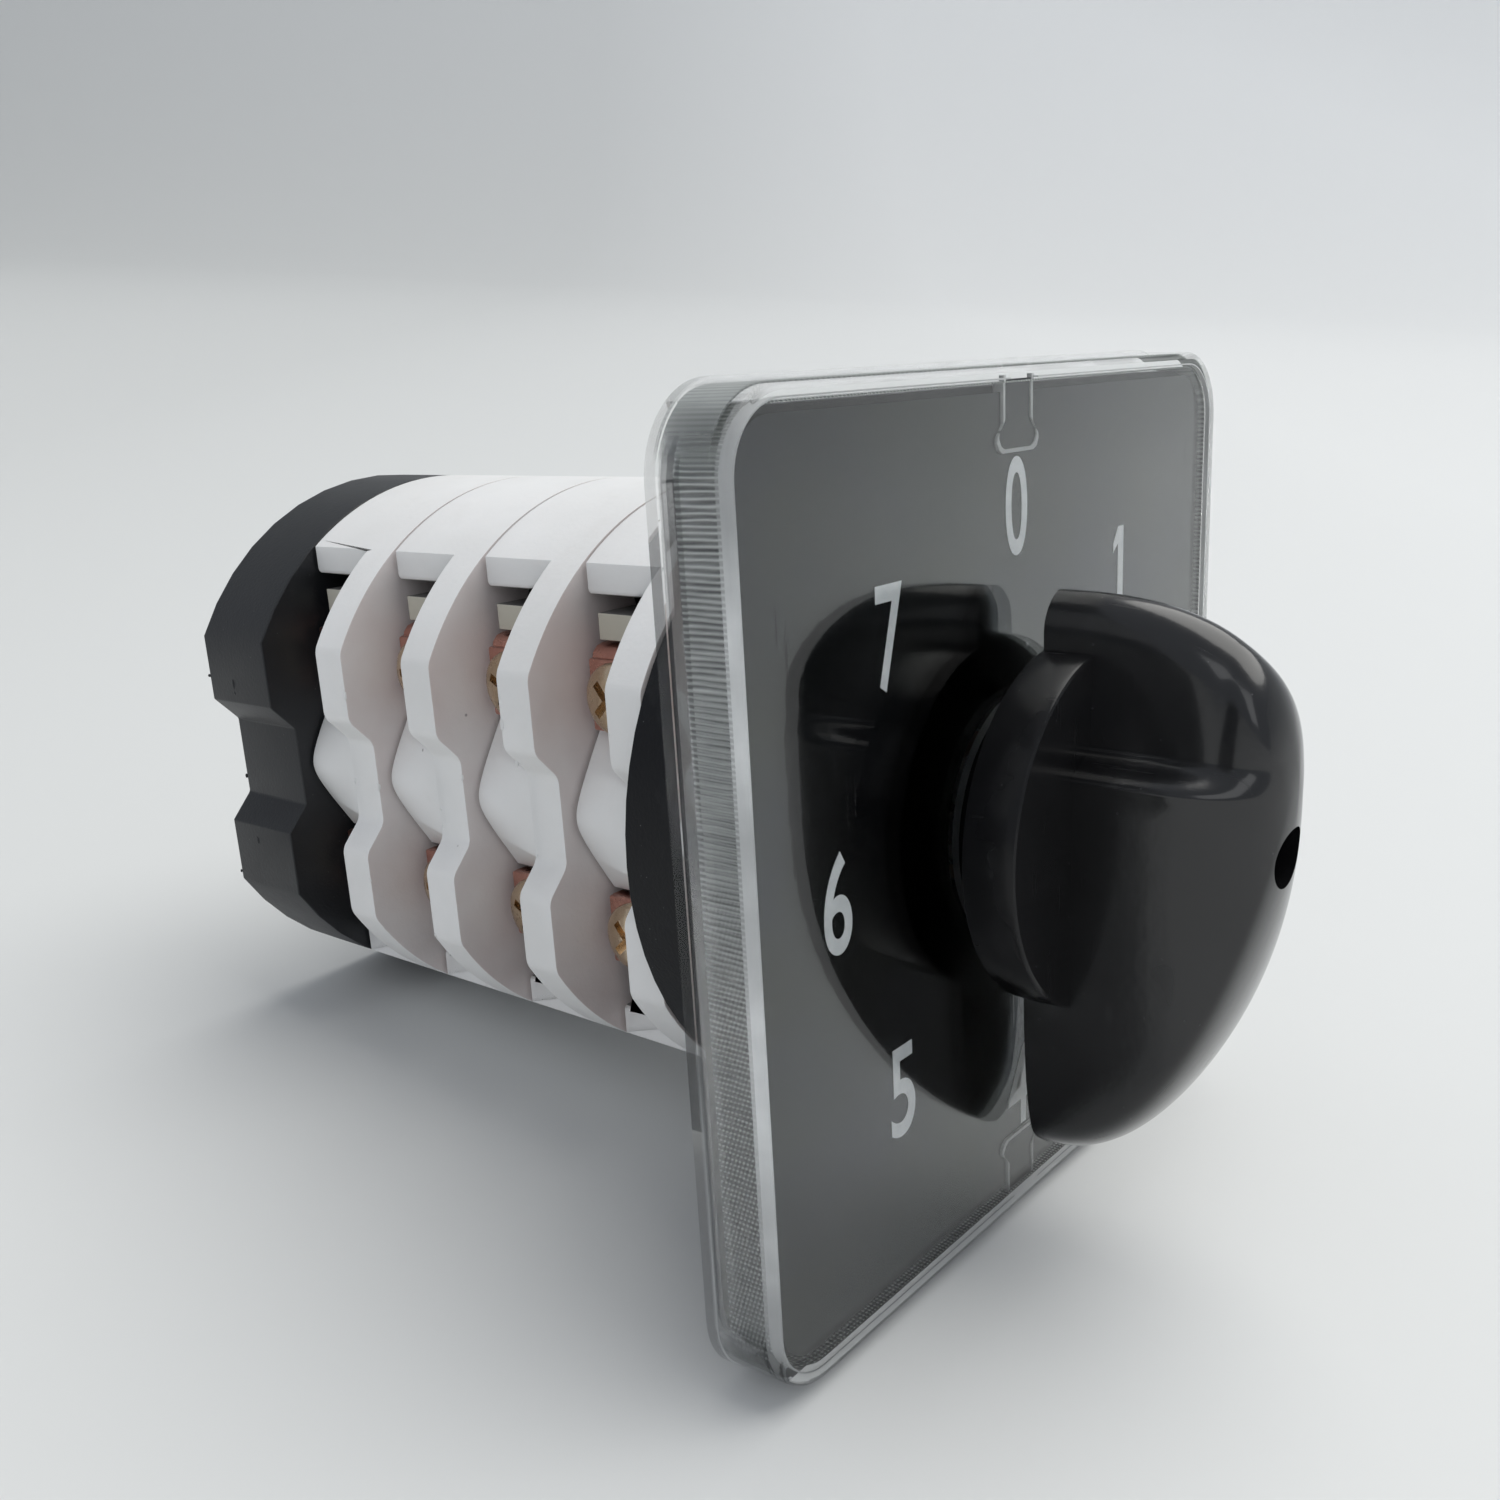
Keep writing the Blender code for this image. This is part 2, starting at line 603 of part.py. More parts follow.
def screw_mesh(shank, head, head_height, length, sides=12, slot=True):
    """Pan-head screw whose head seats at y = 0 and whose shank runs to y = length."""
    profile = [
        (head * 0.72, -head_height),
        (head, -head_height * 0.6),
        (head, 0),
        (shank, 0),
        (shank, length - shank / 2),
        (shank / 2, length),
    ]
    screw = turned(profile, sides)
    if slot:
        depth = (-head_height - SEAT_GAP, -head_height * 0.55)
        screw = cut(screw, box((-head, head), depth, (-head * 0.13, head * 0.13)))
    return screw


def cover_mesh():
    """Clear tray: front window with a hole for the knob, side walls, and two tabs that key the dial."""
    rings = []
    for side_inset, y in ((COVER_DRAFT + COVER_EDGE, 0), (COVER_DRAFT, COVER_EDGE), (0, COVER_DEPTH)):
        outline = rounded_square(COVER_SIDE - 2 * side_inset, COVER_CORNER - side_inset, 5)
        rings.append([(x, y, z) for x, z in outline])
    tray = loft(rings)
    hollow = rounded_square(COVER_SIDE - 2 * COVER_WALL, COVER_CORNER - COVER_WALL, 5)
    tray = cut(tray, prism(hollow, COVER_FRONT, COVER_DEPTH + SEAT_GAP))
    tray = cut(tray, prism(circle(HOLE_RADIUS, 32), -SEAT_GAP, COVER_FRONT + SEAT_GAP))
    outer = COVER_SIDE / 2 - COVER_WALL / 2
    tab = key_outline(SEAT_GAP, outer)
    ends = (COVER_FRONT - SEAT_GAP, DIAL_Y + DIAL_THICKNESS)
    return join(tray, prism(tab, *ends), prism(mirrored(tab), *ends))


def key_outline(inset, outer):
    """Keyhole outline at the top of the dial, from its blunt inner end to the given height."""
    half = KEY_WIDTH / 2 - inset
    end = COVER_SIDE / 2 - COVER_WALL - SEAT_GAP - KEY_LENGTH + inset
    right = [(half, outer), (half, end + 2 * KEY_BULB), (half + KEY_BULB * 0.7, end + KEY_BULB)]
    right += [(half + KEY_BULB * 0.4, end + KEY_BULB * 0.2), (half - KEY_BULB * 0.5, end)]
    return right + [(-x, z) for x, z in reversed(right)]


def inner_outline():
    """Outline of the plates that lie inside the cover's walls."""
    inset = COVER_WALL + SEAT_GAP
    return rounded_square(COVER_SIDE - 2 * inset, COVER_CORNER - inset, 4)


def dial_mesh():
    plate = prism(inner_outline(), DIAL_Y, DIAL_Y + DIAL_THICKNESS)
    plate = cut(plate, prism(circle(HOLE_RADIUS, 32), 0, COVER_DEPTH))
    slot = key_outline(0, COVER_SIDE / 2)
    return cut(plate, prism(slot, 0, COVER_DEPTH), prism(mirrored(slot), 0, COVER_DEPTH))


def mount_screw_places():
    offset = (BODY_RADIUS - MOUNT_SCREW_RIM) / sqrt(2)
    return ((offset, offset), (-offset, -offset))


def mount_plate_mesh():
    """Plate inside the cover, clamped to the housing by two sunk screws."""
    plate = prism(inner_outline(), PLATE_Y, COVER_DEPTH)
    plate = cut(plate, prism(circle(HOLE_RADIUS, 32), 0, COVER_DEPTH + SEAT_GAP))
    for x, z in mount_screw_places():
        shank = circle(MOUNT_SCREW_RADIUS + SOCKET_GAP, 12, (x, z))
        head = circle(MOUNT_HEAD_RADIUS + SEAT_GAP, 16, (x, z))
        plate = cut(plate, prism(shank, 0, COVER_DEPTH + SEAT_GAP))
        plate = cut(plate, prism(head, 0, MOUNT_HEAD_SEAT))
    return plate


def housing_cavity_outline():
    """Round well for the detent wheel, with a guide for a sprung plunger on each side."""
    well = WHEEL_TIP + WELL_ROOM
    guide = DETENT_WIDTH / 2 + SEAT_GAP
    reach = BODY_RADIUS - HOUSING_WALL
    angle = degrees(asin(guide / well))
    half = [(guide, reach), (-guide, reach)] + arc(well, 90 + angle, 270 - angle, 14)
    return half + mirrored(half)


def detent_start():
    return WHEEL_TIP + SEAT_GAP


def detent_spring_start():
    return BODY_RADIUS - HOUSING_WALL - SEAT_GAP - DETENT_SPRING_LENGTH


def housing_mesh():
    """Round housing, open to the rear where the first contact base closes it."""
    end = HOUSING_Y + HOUSING_DEPTH
    housing = prism(circle(BODY_RADIUS, 64), HOUSING_Y, end)
    housing = cut(housing, prism(housing_cavity_outline(), HOUSING_Y + HOUSING_FRONT, end + SEAT_GAP))
    housing = cut(housing, prism(circle(BEARING_RADIUS, 24), 0, end))
    for centre in mount_screw_places():
        hole = circle(MOUNT_SCREW_RADIUS + SOCKET_GAP, 12, centre)
        depth = MOUNT_HEAD_SEAT + MOUNT_SCREW_LENGTH + SEAT_GAP
        housing = cut(housing, prism(hole, 0, depth))
    for centre in bolt_places():
        hole = circle(BOLT_RADIUS + BOLT_HOLE_GAP, 10, centre)
        housing = cut(housing, prism(hole, end - BOLT_GRIP - SEAT_GAP, end + SEAT_GAP))
    return housing


def wheel_mesh():
    """Detent wheel with a valley for each position and a hub that turns in the housing's front wall."""
    outline = []
    swing = DETENT_TRAVEL / 2
    middle = WHEEL_TIP - swing
    for step in range(POSITIONS * 6):
        angle = 2 * pi * step / (POSITIONS * 6)
        radius = middle - swing * cos(POSITIONS * angle)
        outline.append((radius * cos(angle), radius * sin(angle)))
    start = HOUSING_Y + HOUSING_FRONT + SEAT_GAP
    wheel = prism(outline, start, start + WHEEL_THICKNESS)
    hub = prism(circle(BEARING_RADIUS - RUN_GAP, 24), HOUSING_Y + SEAT_GAP, start + SEAT_GAP)
    return cut(join(wheel, hub), shaft_hole(0, SECTION_Y))


def detent_plunger_mesh():
    """Plunger that stands along +Z with its round nose towards the wheel."""
    half = DETENT_WIDTH / 2
    nose = arc(half, 180, 360, 8, (0, detent_start() + half))
    end = detent_spring_start() - SEAT_GAP
    width = WHEEL_THICKNESS - 2 * SEAT_GAP
    return prism(nose + [(half, end), (-half, end)], -width / 2, width / 2)


def cap_mesh():
    """Rear cap with the sections' outline, a bearing for the shaft and sunk bolt heads."""
    rings = []
    for inset, y in ((0, CAP_Y), (0, REAR_Y - CAP_CHAMFER), (CAP_CHAMFER, REAR_Y)):
        rings.append([(x, y, z) for x, z in notched_outline(inset)])
    cap = loft(rings)
    bearing = circle(JOURNAL_RADIUS, 24)
    cap = cut(cap, prism(bearing, CAP_Y - SEAT_GAP, CAP_Y + JOURNAL_LENGTH + SEAT_GAP))
    for centre in bolt_places():
        hole = circle(BOLT_RADIUS + BOLT_HOLE_GAP, 10, centre)
        sink = circle(BOLT_HEAD_RADIUS + SEAT_GAP / 2, 12, centre)
        cap = cut(cap, prism(hole, CAP_Y - SEAT_GAP, REAR_Y + SEAT_GAP))
        cap = cut(cap, prism(sink, REAR_Y - BOLT_HEAD_SINK, REAR_Y + SEAT_GAP))
    return cap


def build_front(frame, rotor):
    place("clear_cover", cover_mesh(), CLEAR, frame)
    place("dial_plate", dial_mesh(), DIAL, frame)
    place("mount_plate", mount_plate_mesh(), BLACK, frame)
    seat = MOUNT_HEAD_SEAT - SEAT_GAP
    screw = screw_mesh(MOUNT_SCREW_RADIUS, MOUNT_HEAD_RADIUS, seat - PLATE_Y, MOUNT_SCREW_LENGTH)
    for index, (x, z) in enumerate(mount_screw_places(), 1):
        place(f"mount_screw_{index}", screw, STEEL, frame, (x, seat, z))
    place("knob", knob_mesh(), GLOSS_BLACK, rotor, smooth=40)
    length = KNOB_SCREW_GRIP + KNOB_WEB
    fixing = screw_mesh(KNOB_SCREW_RADIUS, KNOB_SCREW_HEAD_RADIUS, KNOB_SCREW_HEAD, length)
    place("knob_screw", fixing, STEEL, rotor, (0, SHAFT_FRONT - 2 * SEAT_GAP - KNOB_WEB, 0))


def build_detent(frame, rotor):
    place("detent_housing", housing_mesh(), BLACK, frame)
    place("detent_wheel", wheel_mesh(), BROWN, rotor)
    middle = HOUSING_Y + HOUSING_FRONT + SEAT_GAP + WHEEL_THICKNESS / 2
    plunger = detent_plunger_mesh()
    spring = coil(SPRING_RADIUS, WIRE_RADIUS, DETENT_SPRING_LENGTH, DETENT_TURNS)
    start = detent_spring_start()
    for side, turn, sign in (("upper", 0, 1), ("lower", pi, -1)):
        place(f"detent_plunger_{side}", plunger, BROWN, frame, (0, middle, 0), (0, turn, 0))
        place(f"detent_spring_{side}", spring, STEEL, frame, (0, middle, sign * start), (0, turn, 0))


CORNERS = {
    "upper_left": (0, 0, 0),
    "upper_right": (0, 0, pi),
    "lower_left": (pi, 0, 0),
    "lower_right": (0, pi, 0),
}


def build_section(frame, rotor, index, base, contact, spring, terminal):
    """One contact section: base, cam, two moving contacts with springs and four fixed terminals."""
    start = SECTION_Y + index * SECTION_PITCH
    middle = start + CAVITY_MID
    number = index + 1
    place(f"contact_base_{number}", base, WHITE, frame, (0, start, 0))
    place(f"cam_{number}", cam_mesh(index), BROWN, rotor, (0, start, 0))
    bridge_top = BRIDGE_Z + BRIDGE_THICKNESS + SEAT_GAP
    for side, turn, sign in (("upper", 0, 1), ("lower", pi, -1)):
        seat = (0, middle, sign * bridge_top)
        place(f"moving_contact_{number}_{side}", contact, BROWN, frame, (0, middle, 0), (0, turn, 0))
        place(f"contact_spring_{number}_{side}", spring, STEEL, frame, seat, (0, turn, 0))
    for corner, turn in CORNERS.items():
        place(f"terminal_{number}_{corner}", terminal, BRASS, frame, (0, middle, 0), turn)


def build_stack(frame, rotor):
    base = contact_base_mesh()
    contact = moving_contact_mesh()
    free = POCKET_TOP - BRIDGE_Z - BRIDGE_THICKNESS - 2 * SEAT_GAP
    spring = coil(SPRING_RADIUS, WIRE_RADIUS, free, CONTACT_TURNS)
    terminal = terminal_mesh()
    for index in range(SECTIONS):
        build_section(frame, rotor, index, base, contact, spring, terminal)
    place("switch_shaft", shaft_mesh(), STEEL, rotor)
    place("rear_cap", cap_mesh(), BLACK, frame)
    seat = REAR_Y - BOLT_HEAD_SINK + SEAT_GAP
    end = HOUSING_Y + HOUSING_DEPTH - BOLT_GRIP
    bolt = screw_mesh(BOLT_RADIUS, BOLT_HEAD_RADIUS, BOLT_HEAD, seat - end, 10)
    for index, (x, z) in enumerate(bolt_places(), 1):
        place(f"tie_bolt_{index}", bolt, STEEL, frame, (x, seat, z), (0, 0, pi))


def main():
    remove_all_objects()
    middle_of_length = (REAR_Y - FIN_HEIGHT) / 2
    frame = bpy.data.objects.new("switch_frame", None)
    rotor = bpy.data.objects.new("rotor_axis", None)
    for empty in (frame, rotor):
        bpy.context.scene.collection.objects.link(empty)
    frame.location = (0, -middle_of_length, COVER_SIDE / 2)
    rotor.parent = frame
    build_front(frame, rotor)
    build_detent(frame, rotor)
    build_stack(frame, rotor)
    bpy.context.view_layer.update()


main()
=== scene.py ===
"""Looks of the rotary cam changeover switch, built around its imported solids."""

import json
from math import asin, cos, pi, radians, sin, sqrt
from random import Random

import bmesh
import bpy
from mathutils import Matrix, Vector

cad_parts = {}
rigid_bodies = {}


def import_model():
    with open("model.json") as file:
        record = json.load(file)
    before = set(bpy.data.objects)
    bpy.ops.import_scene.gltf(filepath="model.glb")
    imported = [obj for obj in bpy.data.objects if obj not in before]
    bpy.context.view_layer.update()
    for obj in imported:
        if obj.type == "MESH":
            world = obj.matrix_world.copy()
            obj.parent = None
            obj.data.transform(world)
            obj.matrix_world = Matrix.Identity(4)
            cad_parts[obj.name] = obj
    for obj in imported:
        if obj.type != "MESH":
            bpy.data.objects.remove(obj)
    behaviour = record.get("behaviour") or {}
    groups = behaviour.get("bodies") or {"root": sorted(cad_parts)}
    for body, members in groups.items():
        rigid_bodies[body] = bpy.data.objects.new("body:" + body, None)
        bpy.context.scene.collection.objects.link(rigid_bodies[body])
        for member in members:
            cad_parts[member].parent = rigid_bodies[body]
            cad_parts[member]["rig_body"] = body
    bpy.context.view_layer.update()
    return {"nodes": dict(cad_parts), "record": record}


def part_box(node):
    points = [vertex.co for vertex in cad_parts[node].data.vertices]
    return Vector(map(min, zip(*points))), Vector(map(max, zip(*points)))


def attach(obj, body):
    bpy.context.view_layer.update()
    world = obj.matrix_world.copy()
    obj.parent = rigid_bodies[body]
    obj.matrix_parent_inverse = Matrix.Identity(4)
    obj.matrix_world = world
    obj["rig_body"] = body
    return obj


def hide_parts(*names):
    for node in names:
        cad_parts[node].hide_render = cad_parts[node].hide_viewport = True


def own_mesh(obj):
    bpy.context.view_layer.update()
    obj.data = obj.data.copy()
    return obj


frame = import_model()
nodes = frame["nodes"]

# Places taken from the solids
cover_low, cover_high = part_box("clear_cover")
dial_low, dial_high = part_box("dial_plate")
cap_low, cap_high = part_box("rear_cap")
AXIS_Z = (cover_low.z + cover_high.z) / 2
HALF = (cover_high.x - cover_low.x) / 2
FRONT = cover_low.y
LIP = cover_high.y
DIAL_FACE = dial_low.y
MM = 0.001
AXIS_MM = AXIS_Z / MM
HALF_MM = HALF / MM
SECTION_NUMBERS = range(1, 5)
COVER_CORNER = 5.5 * MM
FAR_OFF = 40 * MM


def configured(item, **settings):
    """Sets several values of an item."""
    for key, value in settings.items():
        setattr(item, key, value)
    return item


# Shader maths

class Field:
    """A value that varies over a surface; arithmetic on it adds Math nodes."""

    def __init__(self, finish, socket):
        self.finish = finish
        self.socket = socket

    def _math(self, operation, first, second=None):
        values = {0: first} if second is None else {0: first, 1: second}
        return self.finish.node("ShaderNodeMath", {"operation": operation}, values)

    def __add__(self, other):
        return self._math("ADD", self, other)

    def __radd__(self, other):
        return self._math("ADD", other, self)

    def __sub__(self, other):
        return self._math("SUBTRACT", self, other)

    def __rsub__(self, other):
        return self._math("SUBTRACT", other, self)

    def __mul__(self, other):
        return self._math("MULTIPLY", self, other)

    def __rmul__(self, other):
        return self._math("MULTIPLY", other, self)

    def __truediv__(self, other):
        return self._math("DIVIDE", self, other)

    def sine(self):
        return self._math("SINE", self)

    def larger(self, other):
        return self._math("MAXIMUM", self, other)

    def spread(self, low, high, out_low=0.0, out_high=1.0):
        """The value mapped from one range to another and held at its ends."""
        values = {0: self, 1: low, 2: high, 3: out_low, 4: out_high}
        return self.finish.node("ShaderNodeMapRange", {}, values)


class Finish:
    """One material: its nodes, the place on the piece, and its shader."""

    def __init__(self, name):
        self.material = bpy.data.materials.new(name)
        self.material.use_nodes = True
        self.tree = self.material.node_tree
        self.shader = self.tree.nodes["Principled BSDF"]
        self.place = self.node("ShaderNodeTexCoord", output="Object")

    def node(self, kind, settings=None, values=None, output=0):
        """Any node: its settings first, then the values or links of its sockets."""
        made = self.tree.nodes.new(kind)
        configured(made, **(settings or {}))
        for key, value in (values or {}).items():
            self.feed(made.inputs[key], value)
        return Field(self, made.outputs[output])

    def feed(self, socket, value):
        """Links a varying value to a socket, or sets a constant on it."""
        if isinstance(value, Field):
            self.tree.links.new(value.socket, socket)
        elif isinstance(value, tuple) and len(value) == 3 and socket.type == "RGBA":
            socket.default_value = (*value, 1.0)
        else:
            socket.default_value = value

    def axes(self):
        """The three coordinates of the place, in millimetres."""
        parts = self.node("ShaderNodeSeparateXYZ", values={0: self.place}).socket.node
        return [Field(self, parts.outputs[index]) * 1000 for index in range(3)]

    def stretched(self, scale, shift=(0, 0, 0)):
        """The place with its own scale on each axis."""
        values = {"Vector": self.place, "Location": shift, "Scale": scale}
        return self.node("ShaderNodeMapping", values=values)

    def noise(self, scale, detail=3.0, rough=0.5, place=None):
        """Cloudy noise, finer with a larger scale."""
        values = {"Vector": place or self.place, "Scale": scale, "Detail": detail, "Roughness": rough}
        return self.node("ShaderNodeTexNoise", {"noise_dimensions": "3D"}, values)

    def cells(self, scale):
        """Distance to the middle of the nearest of many scattered cells."""
        values = {"Vector": self.place, "Scale": scale}
        return self.node("ShaderNodeTexVoronoi", {"feature": "F1"}, values, "Distance")

    def mix(self, share, first, second):
        """Colour between two colours."""
        return self.node("ShaderNodeMix", {"data_type": "RGBA"}, {0: share, 6: first, 7: second}, 2)

    def bump(self, height, distance, strength=1.0, under=None):
        """Fine relief, which may lie over a coarser one."""
        values = {"Height": height, "Distance": distance, "Strength": strength}
        if under is not None:
            values["Normal"] = under
        return self.node("ShaderNodeBump", values=values)

    def finished(self, **sockets):
        """Sets the shader's sockets, named in words with underscores."""
        for name, value in sockets.items():
            self.feed(self.shader.inputs[name.replace("_", " ")], value)
        return self.material


def speck_mask(finish, scale, size):
    """Small scattered dots, 1 inside a dot."""
    return finish.cells(scale).spread(size, size * 0.5)


def scratch_mask(finish, along, across, level):
    """Faint long hairlines."""
    place = finish.stretched((across, along, along * 0.7))
    return finish.noise(1.0, 2.0, 0.6, place).spread(level, level + 0.06)


# Finishes

def gloss_black_finish(name, shine, lacquer):
    """Polished black moulding of the knob: deep black, slight orange peel, hairlines and lint."""
    finish = Finish(name)
    cloud = finish.noise(90, 4.0, 0.6)
    fine = finish.noise(1600, 2.0, 0.5)
    hair = scratch_mask(finish, 160, 2400, 0.66)
    lint = speck_mask(finish, 700, 0.035)
    base = finish.mix(cloud.spread(0.35, 0.7), (0.0055, 0.0055, 0.006), (0.010, 0.010, 0.011))
    base = finish.mix(lint * 0.5, base, (0.16, 0.16, 0.17))
    rough = cloud.spread(0.3, 0.7, 0.17, 0.23) + hair * 0.12 + lint * 0.3
    normal = finish.bump(cloud * 0.8 + fine * 0.2, 0.00007, 0.6)
    return finish.finished(Base_Color=base, Roughness=rough, Normal=normal, Specular_IOR_Level=shine,
                           Coat_Weight=lacquer, Coat_Roughness=0.07, Coat_IOR=1.5)


def satin_black_finish(name, deep, worn, shine):
    """Black moulding of the housing and rear cap: satin, with a fine grain and paler rubbed spots."""
    finish = Finish(name)
    cloud = finish.noise(70, 5.0, 0.62)
    grain = finish.noise(3800, 3.0, 0.6)
    rub = finish.noise(240, 5.0, 0.7).spread(0.56, 0.75)
    dust = speck_mask(finish, 900, 0.05)
    base = finish.mix(cloud.spread(0.3, 0.7), deep, worn)
    base = finish.mix(rub * 0.18, base, (0.06, 0.061, 0.064))
    base = finish.mix(dust * 0.4, base, (0.2, 0.2, 0.2))
    rough = 0.40 + cloud.spread(0.3, 0.7, 0.0, 0.10) + rub * 0.08
    normal = finish.bump(grain, 0.00005, 0.55, finish.bump(cloud, 0.0002, 0.35))
    return finish.finished(Base_Color=base, Roughness=rough, Normal=normal, Specular_IOR_Level=shine)


def white_finish(name, dull, clean):
    """White moulding of the contact bases: satin, with faint grey handling marks and a few dark specks."""
    finish = Finish(name)
    cloud = finish.noise(60, 4.0, 0.55)
    smudge = finish.noise(170, 5.0, 0.65).spread(0.55, 0.8)
    grain = finish.noise(2600, 3.0, 0.6)
    speck = speck_mask(finish, 210, 0.035)
    base = finish.mix(cloud.spread(0.35, 0.65), dull, clean)
    base = finish.mix(smudge * 0.18, base, (0.58, 0.55, 0.53))
    base = finish.mix(speck * 0.7, base, (0.16, 0.15, 0.15))
    rough = 0.42 + smudge * 0.12 + grain * 0.06
    normal = finish.bump(grain, 0.00004, 0.5, finish.bump(cloud, 0.00025, 0.4))
    return finish.finished(Base_Color=base, Roughness=rough, Normal=normal, Specular_IOR_Level=0.45,
                           Subsurface_Weight=0.12, Subsurface_Scale=0.0015,
                           Subsurface_Radius=(1.0, 0.9, 0.85))


def sooty_finish():
    """Inner walls of the contact chambers: the same white moulding, darkened into painted shade."""
    finish = Finish("painted_shade_chamber_white")
    cloud = finish.noise(150, 5.0, 0.65)
    grain = finish.noise(2600, 3.0, 0.6)
    base = finish.mix(cloud.spread(0.3, 0.7), (0.10, 0.095, 0.09), (0.24, 0.23, 0.22))
    return finish.finished(Base_Color=base, Roughness=0.6 + grain * 0.1,
                           Normal=finish.bump(grain, 0.00004, 0.5))


def clear_finish(name, body):
    """Clear polished plastic of the cover: faint scratches, a little haze and a share of body."""
    finish = Finish(name)
    haze = finish.noise(130, 4.0, 0.6)
    hair = scratch_mask(finish, 120, 1800, 0.68)
    base = finish.mix(haze.spread(0.3, 0.7), (0.93, 0.95, 0.94), (0.97, 0.98, 0.975))
    rough = 0.015 + haze.spread(0.4, 0.8, 0.0, 0.03) + hair * 0.06
    normal = finish.bump(hair * 0.5 + haze * 0.5, 0.00004, 0.25)
    return finish.finished(Base_Color=base, Roughness=rough, Normal=normal, IOR=1.38, Transmission_Weight=1.0,
                           Alpha=body)


def ribbed_finish():
    """Inner side wall of the cover, seen through it: fine ribs from front to back, crossed lower down, with
    painted highlights on the rib crests and painted shade between them.
    """
    finish = Finish("ribbed_clear_wall")
    rib_pitch, cross_pitch = 0.36, 0.3
    x, y, z = finish.axes()
    wobble = finish.noise(420, 3.0, 0.6, finish.stretched((1.0, 0.25, 1.0)))
    rise = ((x + z) * (2 * pi / rib_pitch) + wobble * 8).sine()
    streak = finish.noise(1.0, 3.0, 0.7, finish.stretched((2600, 160, 2600)))
    crest = rise * 0.5 + 0.5
    rib = crest * crest * 0.6 + streak * 0.7
    cross = ((y + z * 0.35) * (2 * pi / cross_pitch)).sine() * 0.5 + 0.5
    above_axis = z - AXIS_MM
    rib = rib * (1 - above_axis.spread(6, -14) * cross * 0.6)
    top = above_axis.spread(HALF_MM - 6, HALF_MM - 3)
    # Painted highlight on the rib crests, painted shade between them, paler towards the top.
    base = finish.mix(rib.spread(0.3, 0.9), (0.05, 0.053, 0.056), (0.66, 0.68, 0.67))
    base = finish.mix(top * 0.45, base, (0.55, 0.58, 0.55))
    return finish.finished(Base_Color=base, Roughness=0.32 + streak * 0.15, Specular_IOR_Level=0.5,
                           Normal=finish.bump(rib, 0.0003, 0.8))


def frosted_edge_finish(name, pale, dull, fade=0, shaded_below=1):
    """Pale edges of the clear cover, their paleness painted highlight where they catch light.

    With fade, the distance in millimetres from the cover's edge over which it fades out, it is ribbed.
    With its last argument 0, its lower part stays pale and the whole is a little see-through; otherwise
    painted shade darkens its lower part.
    """
    finish = Finish(name)
    cloud = finish.noise(1.0, 4.0, 0.6, finish.stretched((260, 700, 260)))
    base = finish.mix(cloud.spread(0.3, 0.75), pale, dull)
    x, y, z = finish.axes()
    if fade:
        ribs = ((x + z) * (2 * pi / 0.5)).sine() * 0.5 + 0.5
        base = finish.mix(ribs * ribs * 0.75, base, (0.16, 0.175, 0.17))
    patch = finish.noise(1.0, 2.0, 0.5, finish.stretched((4, 4, 62)))
    # Painted shade: darker towards the bottom.
    low = (AXIS_MM - 14 - z).spread(0, 16)
    base = finish.mix(patch.spread(0.46, 0.62) * 0.6 + low * 0.8 * shaded_below, base, (0.25, 0.255, 0.26))
    values = {}
    if fade:
        far = (z - AXIS_MM) * (z - AXIS_MM)
        values["Alpha"] = far.spread((HALF_MM - fade) ** 2, (HALF_MM - 1.2) ** 2)
    if not shaded_below:
        values["Alpha"] = 0.6
    return finish.finished(Base_Color=base, Roughness=0.4 + cloud * 0.2,
                           Normal=finish.bump(cloud, 0.0001, 0.5), **values)


def dial_finish():
    """Dark anodised plate: fine vertical brushing, cloudy stains, dust, lint about the hub, and a painted
    reflection that darkens it towards the top and bottom and lightens it towards +x.
    """
    finish = Finish("dark_anodised_plate")
    brush = finish.noise(1.0, 4.0, 0.7, finish.stretched((2600, 2600, 60)))
    stain = finish.noise(45, 5.0, 0.62)
    dust = speck_mask(finish, 520, 0.04)
    x, y, z = finish.axes()
    above_axis = z - AXIS_MM
    far = above_axis / 31
    base = finish.mix(brush.spread(0.3, 0.7), (0.022, 0.025, 0.021), (0.028, 0.031, 0.027))
    base = finish.mix(stain.spread(0.38, 0.68) * 0.8, base, (0.032, 0.036, 0.060))
    cloud = finish.noise(38, 3.0, 0.5, finish.stretched((1, 1, 1), (3, 1, 5)))
    base = finish.mix(cloud.spread(0.45, 0.65) * 0.7, base, (0.044, 0.050, 0.040))
    # Painted reflection: darker towards the top and bottom and lighter towards +x.
    base = finish.mix(far * far * 0.45 - x * 0.004, base, (0.010, 0.011, 0.013))
    base = finish.mix(dust * 0.5, base, (0.3, 0.3, 0.3))
    ring = x * x + above_axis * above_axis
    lint = speck_mask(finish, 900, 0.16) * (1 - ring.spread(160, 290)).larger(0)
    base = finish.mix(lint * 0.8, base, (0.32, 0.32, 0.33))
    rough = 0.10 + stain.spread(0.35, 0.7, 0.0, 0.05)
    return finish.finished(Base_Color=base, Roughness=rough, Metallic=1.0,
                           Normal=finish.bump(stain, 0.00001, 0.1))


def print_finish():
    """Pale grey printed numerals, a little uneven."""
    finish = Finish("pale_grey_print")
    wear = finish.noise(900, 4.0, 0.65)
    base = finish.mix(wear.spread(0.35, 0.8), (0.97, 0.98, 1.0), (0.78, 0.80, 0.83))
    return finish.finished(Base_Color=base, Roughness=0.45 + wear * 0.1,
                           Normal=finish.bump(wear, 0.00002, 0.3))


